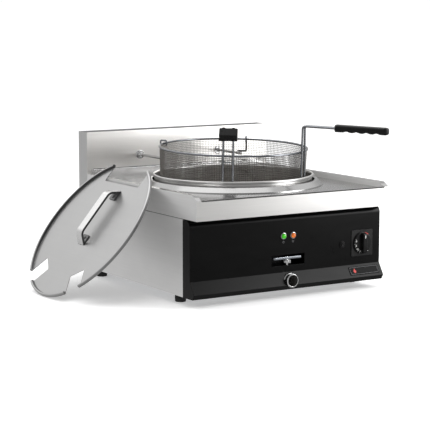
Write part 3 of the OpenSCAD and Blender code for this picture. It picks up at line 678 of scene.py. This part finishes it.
# Reset button in its bezel.
RESET_R = 5.5
stand_in("reset_bezel", "reset_bezel_formed", lathe(fillet([
    (RESET_R + 0.1, -8), (RESET_R + 0.1, 2), (RESET_R + 3.5, 2), (RESET_R + 3.5, 0.05),
    (RESET_R + 1.5, 0.05), (RESET_R + 1.5, -8)], [0, 0.7, 1.2, 0, 0, 0], 4, True), 72),
    turned(RESET_X, FACE_Y, KNOB_Z, FACING))
stand_in("reset_button", "reset_button_formed", lathe(fillet([
    (0, -7), (RESET_R, -7), (RESET_R, 3.6), (RESET_R - 1.2, 4.6), (3, 4.3), (0, 4.2)],
    [0, 0, 1, 1, 1, 0], 4, True), 72), turned(RESET_X, FACE_Y, KNOB_Z, FACING))

# Signal lamps.
for colour, x in (("green", MID_X - LAMP_APART), ("amber", MID_X + LAMP_APART)):
    place = turned(x, FACE_Y, LAMP_Z, FACING)
    stand_in(colour + "_lamp_bezel", colour + "_bezel_formed", lathe(fillet([
        (LAMP_R - 1.4, -18), (LAMP_R - 1.4, 1.2), (LAMP_R + 0.6, 2.4), (LAMP_R + 2.5, 1.6),
        (LAMP_R + 2.5, 0.05), (LAMP_R, 0.05), (LAMP_R, -18)], [0, 0.5, 0.8, 0.9, 0, 0, 0], 4, True),
        72), place, BEZEL_CHROME)
    stand_in(colour + "_lamp_lens", colour + "_lens_formed", lathe(fillet([
        (0, -8), (LAMP_R - 1.6, -8), (LAMP_R - 1.6, 1.8), (LAMP_R + 0.3, 2.6), (LAMP_R - 0.6, 4.6),
        (3.2, 6.6), (0, 7.1)], [0, 0, 0.4, 0.5, 3, 6, 0], 5, True), 72), place)

# Small generic symbols pressed below the lamps: a ring with a bar, and three heat bars.
SYMBOL_Z, SYMBOL_R = LAMP_Z - 16, 2.6
ring_mark = sweep([(SYMBOL_R * math.sin(degrees(a)), SYMBOL_R * math.cos(degrees(a)), 0)
                   for a in range(30, 331, 20)], ribbon(0.35, -0.2, 0.15))
bar_mark = block(-0.35, 0.4, -0.2, 0.35, 3.4, 0.15)
extra("power_symbol", joined(ring_mark, bar_mark),
      turned(MID_X - LAMP_APART, FACE_Y, SYMBOL_Z, FACING), "fryer", "black_fascia", GREY_INK)
waves = [sweep([(dx + 0.5 * math.sin(2.2 * k), -3 + k, 0) for k in range(7)],
               ribbon(0.3, -0.2, 0.15)) for dx in (-2, 0, 2)]
extra("heat_symbol", joined(*waves),
      turned(MID_X + LAMP_APART, FACE_Y, SYMBOL_Z, FACING), "fryer", "black_fascia", GREY_INK)

# Plate on the slanted band: plain, with a thin frame and a drop.
BAND_Y, BAND_Z, FOLD_Z = 15.6, 34.5, 66
BAND_ANGLE = math.degrees(math.atan2(FACE_Y - BAND_Y, FOLD_Z - BAND_Z))
BADGE = turned(BODY_W - 108, BAND_Y, BAND_Z, ("X", -BAND_ANGLE), FACING)
badge = fillet([(0, 7), (96, 7), (96, 31), (0, 31)], 2, 4, True)
stand_in("badge_plate", "badge_plate_formed", prism(badge, 0.06, 1.25), BADGE, BADGE_BLACK, 0.4)
frame_line = fillet([(3, 9.5), (93, 9.5), (93, 28.5), (3, 28.5)], 2, 4, True)
extra("badge_frame", sweep([(p.x, p.y, 1.2) for p in frame_line], ribbon(0.3, -0.2, 0.12),
                           loop=True), BADGE, "fryer", "black_plate", GREY_INK)
drop = arc(4.2, range(150, 391, 12))
extra("badge_drop", moved(prism([*drop, (0, 8.5)], 1.1, 1.4), Matrix.Translation((17, 17.5, 0))),
      BADGE, "fryer", "black_plate", RED_INK)

# ---- drain valve --------------------------------------------------------------------------

OUTLET_Z, STEM_Y, LEVER_Z = 46, 42, 103
OUTLET = turned(MID_X, 12, OUTLET_Z, ("X", -90))
spout = fillet([(15, 0), (16.6, 0), (18, 1.2), (18, 4), (16.5, 4.6), (16.5, 15), (18, 15),
                (18, 19), (15, 19)], [0.5, 0.6, 0.9, 0.8, 0.3, 0, 0.5, 0.5, 0], 3, True)
stand_in("drain_spout", "spout_formed", lathe(spout), OUTLET)
thread = [(15.05 - 0.5 * (k % 2), 4 + k * 0.6) for k in range(20)]
extra("spout_thread", lathe([*thread, (15.4, 15.4), (15.4, 4)], 64), OUTLET, "fryer", "chrome",
      VALVE_STEEL)
softened("valve_body", 0.8, VALVE_STEEL)
softened("valve_ball", 0.4, VALVE_STEEL)
softened("valve_nut", 0.7)
LEVER_HALF, LEVER_END, LEVER_T = 45, 6.2, 6.5
lever_line = arc(LEVER_END, range(-90, 91, 10), LEVER_HALF - LEVER_END)
lever_line += [(-x, -y) for x, y in lever_line]
stand_in("valve_lever", "lever_formed", prism(lever_line, -LEVER_T / 2, LEVER_T / 2),
         turned(MID_X, STEM_Y, LEVER_Z), LEVER_STEEL, bevel=1.4)
stem = fillet([(0, 0), (3.5, 0), (3.5, 50.5), (2.6, 52.4), (0, 52.4)], [0, 0, 1, 1, 0], 3, True)
stand_in("valve_stem", "stem_formed", lathe(stem, 48), turned(MID_X, STEM_Y, 55.05))
washer = lathe(fillet([(3.6, 0), (9.5, 0), (9.5, 1.4), (3.6, 1.4)], 0.3, 2, True), 64)
extra("lever_washer", washer, turned(MID_X, STEM_Y, 96.9), "drain_valve", "chrome")

# ---- feet, screws, bracket ----------------------------------------------------------------

foot = fillet([(4.1, 7), (4.1, 21.9), (12.5, 21.9), (12.5, 17), (15, 16), (15, 13), (14.3, 12.2),
               (14.9, 11.4), (14.2, 1.2), (13.4, 0), (9, 0), (8, 0.8), (0, 0.8), (0, 7)],
              [0, 0, 1, 0.5, 1.2, 0.5, 0.4, 0.5, 1, 0.5, 0.4, 0.4, 0, 0], 3, True)
FOOT_X, FOOT_FRONT, FOOT_REAR = 29, 130, 568
for end, y in (("front", FOOT_FRONT), ("rear", FOOT_REAR)):
    for side, x in (("left", FOOT_X), ("right", BODY_W - FOOT_X)):
        node = "foot_" + end + "_" + side
        stand_in(node, node + "_formed", lathe(foot, 72), turned(x, y, 0))


def screw(place, r, h, shank, depth):
    """Pan head with a cross recess, and its shank. Local z is outwards from the seat."""
    head = lathe(fillet([(0, -depth), (shank, -depth), (shank, 0), (r, 0), (r, 0.45 * h),
                         (0.55 * r, h), (0, h)], [0, 0, 0, 0, 0.6 * h, 0.5 * h, 0], 4, True), 40)
    arm = 0.62 * r
    cuts = [build_mesh("slot", block(-arm, -0.16 * r, 0.45 * h, arm, 0.16 * r, 2 * h), place),
            build_mesh("slot", block(-0.16 * r, -arm, 0.45 * h, 0.16 * r, arm, 2 * h), place)]
    return without(build_mesh("screw", head, place), *cuts)


def together(name, parts):
    """One mesh out of several."""
    bm = bmesh.new()
    for part in parts:
        bm.from_mesh(part)
    data = bpy.data.meshes.new(name)
    bm.to_mesh(data)
    bm.free()
    return data


ARM_X, ARM_Z, ARM_R, ARM_LEN = 131, 335, 4, 125
DECK_D, REAR_IN, REAR_OUT = 596, 642, 644
arm_seats = [(MID_X + s * ARM_X, ARM_Z + dz) for s in (-1, 1) for dz in (-8, 8)]
piece("bracket_screws_formed", together("bracket_screws_formed", [
    screw(turned(x, DECK_D - 3, z, FACING, ("Z", 20 * i)), 3.4, 1.6, 2, 5)
    for i, (x, z) in enumerate(arm_seats)]), "fryer", "chrome", None, ("bracket_screws",))
panel_seats = [(x, z) for x in (40, MID_X, BODY_W - 40) for z in (40, 375)]
piece("rear_screws_formed", together("rear_screws_formed", [
    screw(turned(x, REAR_OUT, z, ("X", -90), ("Z", 25 * i)), 4, 2.2, 2, 6)
    for i, (x, z) in enumerate(panel_seats)]), "fryer", "chrome", None, ("rear_screws",))

# Two arms on the splash, each with a round flange.
arm_shapes = []
rosette = fillet([(0, 0), (13, 0), (13, 1.6), (11.4, 3), (6.5, 3), (4, 5), (0, 5)],
                 [0, 0.3, 0.6, 0.8, 1, 1.2, 0], 4, True)
arm = [(0, 0), (ARM_R, 0)] + arc(ARM_R, range(0, 91, 15), 0, ARM_LEN)
for s in (-1, 1):
    at = Matrix.Translation((s * ARM_X, 0, 0)) @ Matrix.Rotation(degrees(90), 4, "X")
    arm_shapes += [moved(lathe(rosette, 64), at), moved(lathe(arm, 32), at)]
stand_in("drain_bracket", "bracket_formed", joined(*arm_shapes), turned(MID_X, DECK_D, ARM_Z))

# Cable gland at the rear.
GLAND_X, GLAND_Z = 120, 62
gland = [(5.5, -9), (10, -9), (10, 2.1), (14, 2.1), (14, 8)]
gland += [(13.6 - 0.5 * (k % 2), 9 + 1.2 * k) for k in range(6)] + [(10.5, 21), (5.5, 21)]
stand_in("cable_gland", "gland_formed", lathe(fillet(gland, 0.3, 2, True), 72),
         turned(GLAND_X, REAR_IN, GLAND_Z, ("X", -90)))

# ---- basket -------------------------------------------------------------------------------

RIM_R, RIM_WIRE, DEPTH, ROD_R = 202, 3, 130, 3
ROD_X = RIM_R + RIM_WIRE + ROD_R
WALL_TOP, WALL_LOW, CORNER, WIRE = 200.9, 196.8, 9, 0.62
PITCH, SWAY = 4.9, 0.45


def strands(points, side_a, side_b, closed=False):
    """Many thin four-sided wires at once. points is wires x steps x 3."""
    wires, steps = points.shape[:2]
    corners = np.stack([points + side_a, points + side_b, points - side_a, points - side_b], 2)
    first = np.arange(wires)[:, None, None] * steps
    step = np.arange(steps if closed else steps - 1)[None, :, None]
    base, after = first + step, first + (step + 1) % steps
    k = np.arange(4)[None, None, :]
    k2 = (k + 1) % 4
    faces = np.stack([base * 4 + k, base * 4 + k2, after * 4 + k2, after * 4 + k], -1)
    return corners.reshape(-1, 3), faces.reshape(-1, 4)


def weave():
    """The woven cup: uprights, hoops and the floor's two sets of wires."""
    count = int(round(2 * math.pi * RIM_R / PITCH / 2)) * 2
    hoops_z = np.arange(-2.0, -(DEPTH - CORNER), -PITCH)
    angle = 2 * math.pi * np.arange(count) / count
    sign = np.where(np.arange(count) % 2 == 0, 1.0, -1.0)
    parts = []
    wall_r = WALL_LOW + (WALL_TOP - WALL_LOW) * (hoops_z + DEPTH) / DEPTH
    bend = np.radians(np.arange(15, 91, 15))
    corner_r = WALL_LOW - CORNER + CORNER * np.cos(bend)
    corner_z = -(DEPTH - CORNER) + 1 - CORNER * np.sin(bend)
    flip = np.where(np.arange(len(hoops_z)) % 2 == 0, 1.0, -1.0)
    r = np.concatenate([wall_r[None, :] + SWAY * sign[:, None] * flip[None, :],
                        np.repeat(corner_r[None, :], count, 0)], 1)
    z = np.repeat(np.concatenate([hoops_z, corner_z])[None, :], count, 0)
    out = np.stack([np.cos(angle), np.sin(angle), 0 * angle], -1)[:, None, :]
    along = np.stack([-np.sin(angle), np.cos(angle), 0 * angle], -1)[:, None, :]
    pts = out * r[..., None] + np.array([0, 0, 1.0]) * z[..., None]
    parts.append(strands(pts, out * WIRE, along * WIRE))
    # Hoops pass the other side of each upright.
    r = wall_r[:, None] - SWAY * sign[None, :] * flip[:, None]
    out = np.stack([np.cos(angle), np.sin(angle), 0 * angle], -1)[None, :, :]
    pts = out * r[..., None] + np.array([0, 0, 1.0]) * hoops_z[:, None, None]
    parts.append(strands(pts, np.array([0, 0, WIRE])[None, None, :], out * WIRE, True))
    # Floor: two sets of wires at right angles, cut to the circle.
    limit = WALL_LOW - 6
    lines = np.arange(-int(limit / PITCH), int(limit / PITCH) + 1) * PITCH
    floor_z = -DEPTH + 1.4
    for turn in (0, 1):
        for i, offset in enumerate(lines):
            half = math.sqrt(limit ** 2 - offset ** 2)
            inside = lines[np.abs(lines) < half]
            run = np.concatenate([[-half], inside, [half]])
            lift = np.concatenate([[0], SWAY * (-1) ** (np.round(inside / PITCH) + i + turn), [0]])
            across = np.full_like(run, offset)
            x, y = (run, across) if turn == 0 else (across, run)
            pts = np.stack([x, y, floor_z + lift], -1)[None]
            side = np.array([0, WIRE, 0]) if turn == 0 else np.array([WIRE, 0, 0])
            parts.append(strands(pts, side[None, None, :], np.array([0, 0, WIRE])[None, None, :]))
    verts, faces, start = [], [], 0
    for v, f in parts:
        verts.append(v)
        faces.append(f + start)
        start += len(v)
    return np.concatenate(verts), np.concatenate(faces)


woven, woven_faces = weave()
weave_data = bpy.data.meshes.new("basket_weave")
weave_data.from_pydata(woven.tolist(), [], woven_faces.tolist())
weave_data.transform(BASKET)
piece("basket_weave", weave_data, "basket", "basket_wire", MESH_WIRE, ("basket_mesh",), 60, False)

BASE_R, BASE_WIRE = 192, 2.5
stand_in("basket_rim", "rim_formed", ring(RIM_R, 0, RIM_WIRE, 192, 20), BASKET, smooth=80)
stand_in("basket_base_ring", "base_ring_formed", ring(BASE_R, -DEPTH + 4.1, BASE_WIRE, 160, 16),
         BASKET, smooth=80)

PAIR_ANGLE, ROD_HALF, GRIP_HALF, RISE, GRIP_START, GRIP_LEN = 34, 13, 7.5, 71, 300, 148
LONG = BASKET @ Matrix.Rotation(degrees(PAIR_ANGLE - 90), 4, "Z")
SIDE = BASKET @ Matrix.Rotation(degrees(-PAIR_ANGLE - 90), 4, "Z")
ROD_FOOT, ROD_BEND = -DEPTH - ROD_R - 0.05, 7


def rods(tail):
    """A pair of rods: under the floor, up outside the rim and on through the tail's points."""
    shapes = []
    for s in (-1, 1):
        line = [(150, s * ROD_HALF, ROD_FOOT), (ROD_X, s * ROD_HALF, ROD_FOOT)]
        line += [(x, s * y, z) for x, y, z in tail]
        shapes.append(tube(line, ROD_R - 0.05, ROD_BEND, 18))
    return joined(*shapes)


stand_in("long_handle_rods", "long_rods_formed",
         rods([(ROD_X, GRIP_HALF, RISE), (GRIP_START + 30, GRIP_HALF, RISE)]), LONG, smooth=60)
BLOCK_LOW, BLOCK_TOP = 42, 74
stand_in("side_handle_rods", "side_rods_formed",
         rods([(ROD_X, ROD_HALF, BLOCK_TOP + 2.3)]), SIDE, smooth=60)
# Short cross wires that tie each pair of rods together below the rim.
TIE_HEIGHTS = (-70, -16)
for label, place in (("long", LONG), ("side", SIDE)):
    ties = [tube([(ROD_X, -ROD_HALF, z), (ROD_X, ROD_HALF, z)], 1.6, 0, 12) for z in TIE_HEIGHTS]
    extra(label + "_rod_ties", joined(*ties), place, "basket", "basket_wire")


GRIP_W, GRIP_H, END_ROUND, START_ROUND = 13.0, 10.0, 13, 2.5
HOLLOWS, FIRST_HOLLOW, HOLLOW_PITCH, HOLLOW_HALF, HOLLOW_DEEP = 4, 32, 28, 12.5, 2.8


def quarter(share):
    """Height of a quarter circle from 0 at share = 0 to 1 at share = 1."""
    return math.sqrt(max(0.0, 1 - (1 - share) ** 2))


def grip_section(x):
    """Half width, top and bottom of the long grip at x, with the finger hollows underneath."""
    w, top, low = GRIP_W, GRIP_H, -GRIP_H
    for i in range(HOLLOWS):
        d = x - (GRIP_START + FIRST_HOLLOW + HOLLOW_PITCH * i)
        if abs(d) < HOLLOW_HALF:
            hollow = 0.5 + 0.5 * math.cos(math.pi * d / HOLLOW_HALF)
            low = max(low, -GRIP_H + HOLLOW_DEEP * hollow)
    left = GRIP_START + GRIP_LEN - x
    if left < END_ROUND:
        w *= max(quarter(left / END_ROUND), 0.12)
        squeeze = 0.45 + 0.55 * quarter(min(1, left / 9))
        top, low = top * squeeze, low * squeeze
    start = x - GRIP_START
    if start < START_ROUND:
        ease = 0.84 + 0.16 * quarter(start / START_ROUND)
        w, top, low = w * ease, top * ease, low * ease
    return w, top, low


def long_grip():
    """The moulded long grip, as rounded rectangles along x."""
    steps, around, power = 74, 40, 3.4
    straight = GRIP_LEN - START_ROUND - END_ROUND
    stations = ([GRIP_START + START_ROUND * (k / 5) for k in range(5)]
                + [GRIP_START + START_ROUND + straight * k / steps for k in range(steps)]
                + [GRIP_START + GRIP_LEN - END_ROUND * (1 - k / 12) ** 1.6 for k in range(13)])
    verts = []
    for x in stations:
        w, top, low = grip_section(x)
        for k in range(around):
            a = 2 * math.pi * k / around
            c, s = math.cos(a), math.sin(a)
            y = math.copysign(abs(c) ** (2 / power), c) * w
            v = math.copysign(abs(s) ** (2 / power), s)
            verts.append((x, y, RISE + (v * top if v > 0 else -v * low)))
    faces = [(i * around + k, i * around + (k + 1) % around, (i + 1) * around + (k + 1) % around,
              (i + 1) * around + k) for i in range(len(stations) - 1) for k in range(around)]
    faces += [tuple(range(around))[::-1],
              tuple(range((len(stations) - 1) * around, len(stations) * around))]
    return verts, faces


stand_in("long_handle_grip", "long_grip_moulded", long_grip(), LONG, smooth=50)
inner, outer, BLOCK_HALF = ROD_X - 10, ROD_X + 19, 24
grip_line = fillet([(inner, BLOCK_LOW), (outer, BLOCK_LOW), (outer, BLOCK_LOW + 15),
                    (ROD_X + 4.5, BLOCK_TOP), (inner, BLOCK_TOP)], [2.5, 3, 4, 3, 2.5], 4, True)
# An (x, z) outline raised along y.
UPRIGHT = Matrix.Rotation(degrees(90), 4, "X")
stand_in("side_handle_grip", "side_grip_moulded",
         moved(prism(grip_line, -BLOCK_HALF, BLOCK_HALF), UPRIGHT), SIDE, bevel=1.6)
caps = [moved(lathe(fillet([(0, 0), (4.6, 0), (4.6, 1.6), (3.4, 2.6), (0, 2.6)],
                           [0, 0, 0.8, 0.8, 0], 3, True), 36),
              Matrix.Translation((ROD_X - 1, s * ROD_HALF, BLOCK_TOP - 0.3))) for s in (-1, 1)]
extra("side_grip_caps", joined(*caps), SIDE, "basket", "black_plastic")

HOOK_ANGLE, HOOK_R, HOOK_LOW, HOOK_HALF = 37, 2.5, -35.3, 13
r_in, r_out, over = RIM_R - RIM_WIRE - HOOK_R - 0.6, RIM_R + 12, RIM_WIRE + HOOK_R + 2
hooks = []
for s in (-1, 1):
    y = s * HOOK_HALF
    line = [(r_in, y, -7), (r_in, y, over), (r_out, y, over), (r_out, y, HOOK_LOW),
            (r_out, -y, HOOK_LOW)]
    hooks.append(moved(tube(line, HOOK_R - 0.05, 4, 16),
                       Matrix.Rotation(degrees(90 + s * HOOK_ANGLE), 4, "Z")))
stand_in("basket_hooks", "hooks_formed", joined(*hooks), BASKET, smooth=60)

# ---- lid ----------------------------------------------------------------------------------

LID_SHEET, EDGE_H, EDGE_W = 1.5, 9, 7
inside_r = LID_R - EDGE_W
lid_profile = fillet([
    (0, 0), (LID_R - 3, 0), (LID_R - 0.2, 0), (LID_R, 2), (LID_R, EDGE_H), (inside_r, EDGE_H),
    (inside_r - 0.8, LID_SHEET), (inside_r - 4, LID_SHEET), (0, LID_SHEET)],
    [0, 0, 0.4, 0.8, 3.4, 3.4, 1.6, 0, 0], 5, True)
lid_body = build_mesh("lid_pressed", lathe(lid_profile, 256), LID)
NOTCH_W, NOTCH_FLOOR, REAR_NOTCH, REAR_FLOOR = 52, 157, 94, 147
NOTCH_R, BEYOND = 3, LID_R + 40
cutters = []
for s in (-1, 1):
    outline = fillet([(NOTCH_FLOOR, -NOTCH_W / 2), (BEYOND, -NOTCH_W / 2),
                      (BEYOND, NOTCH_W / 2), (NOTCH_FLOOR, NOTCH_W / 2)],
                     [NOTCH_R, 0, 0, NOTCH_R], 5, True)
    cutters.append(build_mesh("notch", moved(prism(outline, -20, 20), Matrix.Rotation(
        degrees(-90 + s * PAIR_ANGLE), 4, "Z")), LID))
outline = fillet([(-REAR_NOTCH, REAR_FLOOR), (REAR_NOTCH, REAR_FLOOR), (REAR_NOTCH, BEYOND),
                  (-REAR_NOTCH, BEYOND)], [NOTCH_R, NOTCH_R, 0, 0], 5, True)
cutters.append(build_mesh("notch", prism(outline, -20, 20), LID))
lid_data = bevelled(without(lid_body, *cutters), 0.3, 2, 50)
lid = piece("lid_pressed", lid_data, "lid", "stainless_satin", STEEL_LID, ("lid",), 35)


def inside_wall(centre, normal):
    """True on the inner side of the lid's raised edge."""
    outwards = Vector((centre.x, centre.y, 0)).normalized()
    return (centre.z > LID_SHEET + 0.1 and inside_r - 3 < centre.to_2d().length < inside_r + 0.8
            and normal.dot(outwards) < -0.3)


def outside_wall(centre, normal):
    """True on the outer side of the lid's raised edge."""
    return centre.to_2d().length > LID_R - 0.3 and abs(normal.z) < 0.5


# Painted shade on the walls of the lid's raised edge: near-black inside, darker steel outside.
second_finish(lid, SHADED_EDGE_INSIDE, LID, inside_wall)
second_finish(lid, SHADED_EDGE_OUTSIDE, LID, outside_wall)

HANDLE_X, HANDLE_Y = 10, 37
HANDLE = LID @ Matrix.Translation((HANDLE_X, HANDLE_Y, 0))
STRAP_HALF, STRAP_T, STRAP_TOP, STRAP_BASE = 15.5, 6.5, 30, 1.6
CORNER_Y, LEG_ANGLE, STRAP_R = 67, 51.3, 25


def strap_line(inset):
    """Side view of the bow handle, inset from its outer face: (y, z) points."""
    y = CORNER_Y - inset * math.tan(degrees(LEG_ANGLE / 2))
    top = STRAP_TOP - inset
    foot = y + (top - STRAP_BASE) / math.tan(degrees(LEG_ANGLE))
    return fillet([(-foot, STRAP_BASE), (-y, top), (y, top), (foot, STRAP_BASE)],
                  STRAP_R - inset, 12)


# Puts a (y, z) outline, raised along x, upright on the lid.
ALONG_X = Matrix(((0, 0, 1, 0), (1, 0, 0, 0), (0, 1, 0, 0), (0, 0, 0, 1)))
strap = build_mesh("strap", moved(prism(
    strap_line(0) + strap_line(STRAP_T)[::-1], -STRAP_HALF, STRAP_HALF), ALONG_X), HANDLE)
bevelled(strap, 1.4, 3, 50)
TAB_T, TAB_IN, TAB_OUT, RIVET_Y = 3, 58, 82, 67
tabs = []
for s in (-1, 1):
    tab = fillet([(-STRAP_HALF, s * TAB_OUT), (STRAP_HALF, s * TAB_OUT),
                  (STRAP_HALF, s * TAB_IN), (-STRAP_HALF, s * TAB_IN)], [0, 0, 4, 4], 4, True)
    tab_data = build_mesh("tab", prism(tab, STRAP_BASE, STRAP_BASE + TAB_T), HANDLE)
    tabs.append(bevelled(tab_data, 0.5))
# The handle is in the painted lighter steel; its sides and the tabs get a painted shade.
handle = piece("lid_handle_formed", together("lid_handle_formed", [strap, *tabs]), "lid",
               NODE_SLOT["lid_handle"], LIT_STRAP_STEEL, ("lid_handle",))
# Painted shade on the strap's sides and on the tabs.
second_finish(handle, SHADED_STRAP_EDGE, HANDLE, lambda centre, normal:
              abs(normal.x) > 0.7 or centre.z < STRAP_BASE + TAB_T + 1)
rivet = lathe(fillet([(0, -1.25), (4.5, -1.25), (4.5, -0.05), (2.5, -0.05), (2.5, 4.6), (4.5, 4.6),
                      (3.6, 6.3), (0, 6.6)], [0, 0.5, 0, 0, 0, 0.2, 1.4, 0], 4, True), 48)
# The rivets get the painted shade of the handle's edges.
stand_in("lid_rivets", "rivets_formed", joined(*[
    moved(rivet, Matrix.Translation((0, s * RIVET_Y, 0))) for s in (-1, 1)]), HANDLE, SHADED_STRAP_EDGE)

# ---- floor, light, camera -----------------------------------------------------------------

floor_mat = Nodes("studio_floor")
paper = floor_mat.noise(3, 3)
floor_mat.finish(Base_Color=floor_mat.mix(paper, grey(0.93), grey(0.95)), Roughness=0.7,
                 Specular_IOR_Level=0.2, Emission_Color=grey(1), Emission_Strength=0.30)
# A wide floor that curves up behind the object, in metres, turned to face the camera.
FLOOR, FLOOR_TURN = 30, -31.6
cove = fillet([(-FLOOR, 0), (14, 0), (17, 1.2), (18, 4), (18, 16)], 2.5, 10)
floor_verts = [(x, p.x, p.y) for x in (-FLOOR, FLOOR) for p in cove]
count = len(cove)
floor_data = bpy.data.meshes.new("studio_floor")
floor_data.from_pydata(floor_verts, [], [(i, i + 1, count + i + 1, count + i)
                                         for i in range(count - 1)])
floor_data.materials.append(floor_mat.material)
floor = bpy.data.objects.new("studio_floor", floor_data)
floor.rotation_euler.z = degrees(FLOOR_TURN)
bpy.context.scene.collection.objects.link(floor)
floor.visible_glossy = False

world = bpy.data.worlds.new("studio")
world.use_nodes = True


class Sky(Nodes):
    """The studio around the object, by direction: bright above, dimmer low down and behind."""

    def __init__(self):
        self.tree = world.node_tree
        self.tree.nodes.clear()
        self.coord = self.add("ShaderNodeTexCoord").outputs["Generated"]

    def ramp(self, value, start, end, low, high):
        return self.add("ShaderNodeMapRange", {"Value": value, "From Min": start, "From Max": end,
                                               "To Min": low, "To Max": high},
                        interpolation_type="SMOOTHSTEP").outputs[0]


sky = Sky()
ABOVE, ABOVE_FRONT, FRONT_LOW, BACK_LOW, LEFT_SHARE = 1.3, 0.3, 0.42, 0.50, 1.15
up, back, right = sky.height("Z"), sky.height("Y"), sky.height("X")
low = sky.math("MULTIPLY", sky.ramp(back, -0.3, 0.5, FRONT_LOW, BACK_LOW),
               sky.ramp(right, -0.5, 0.3, LEFT_SHARE, 1))
rise = sky.ramp(up, 0.12, 0.6, 0, 1)
high = sky.math("MULTIPLY", rise, sky.ramp(back, -0.7, 0.1, ABOVE_FRONT, ABOVE))
level = sky.math("ADD", sky.math("MULTIPLY", low, sky.math("SUBTRACT", 1.0, rise)), high)
glow = sky.add("ShaderNodeBackground", {"Color": (1, 1, 1, 1), "Strength": level})
sky.tree.links.new(glow.outputs[0],
                   sky.add("ShaderNodeOutputWorld").inputs["Surface"])
bpy.context.scene.world = world
bpy.context.scene.view_settings.view_transform = "Standard"


def softbox(name, where, aim, size, power):
    """A rectangular studio light that points from where to aim and stays out of the picture."""
    light = bpy.data.lights.new(name, "AREA")
    light.shape, light.size, light.size_y = "RECTANGLE", size[0], size[1]
    light.energy = power
    obj = bpy.data.objects.new(name, light)
    obj.location = where
    obj.rotation_euler = (Vector(aim) - Vector(where)).to_track_quat("-Z", "Y").to_euler()
    obj.visible_camera = False
    bpy.context.scene.collection.objects.link(obj)


softbox("key", (3.2, -2.4, 1.7), (0, 0, 0.2), (2.2, 2.2), 52)
softbox("top", (0, 0.4, 3.2), (0, 0, 0.2), (3, 3), 22)
softbox("right", BODY @ Vector((1550, -1050, 780)), BODY @ Vector((500, 200, 200)), (0.9, 1.5), 16)

# The photo's point of view, from the perspective of the object's straight edges.
CAMERA_AT, CAMERA_DIP, CAMERA_TURN = (-1949.4, -3253.3, 766.7), 7.873, -31.6185
camera = bpy.data.cameras.new("photo_view")
camera.sensor_width, camera.lens = 36, 129.2
camera.clip_end = 100
eye = bpy.data.objects.new("photo_view", camera)
eye.location = BODY @ Vector(CAMERA_AT)
eye.rotation_euler = (degrees(90 - CAMERA_DIP), 0, degrees(CAMERA_TURN))
bpy.context.scene.collection.objects.link(eye)
bpy.context.scene.camera = eye
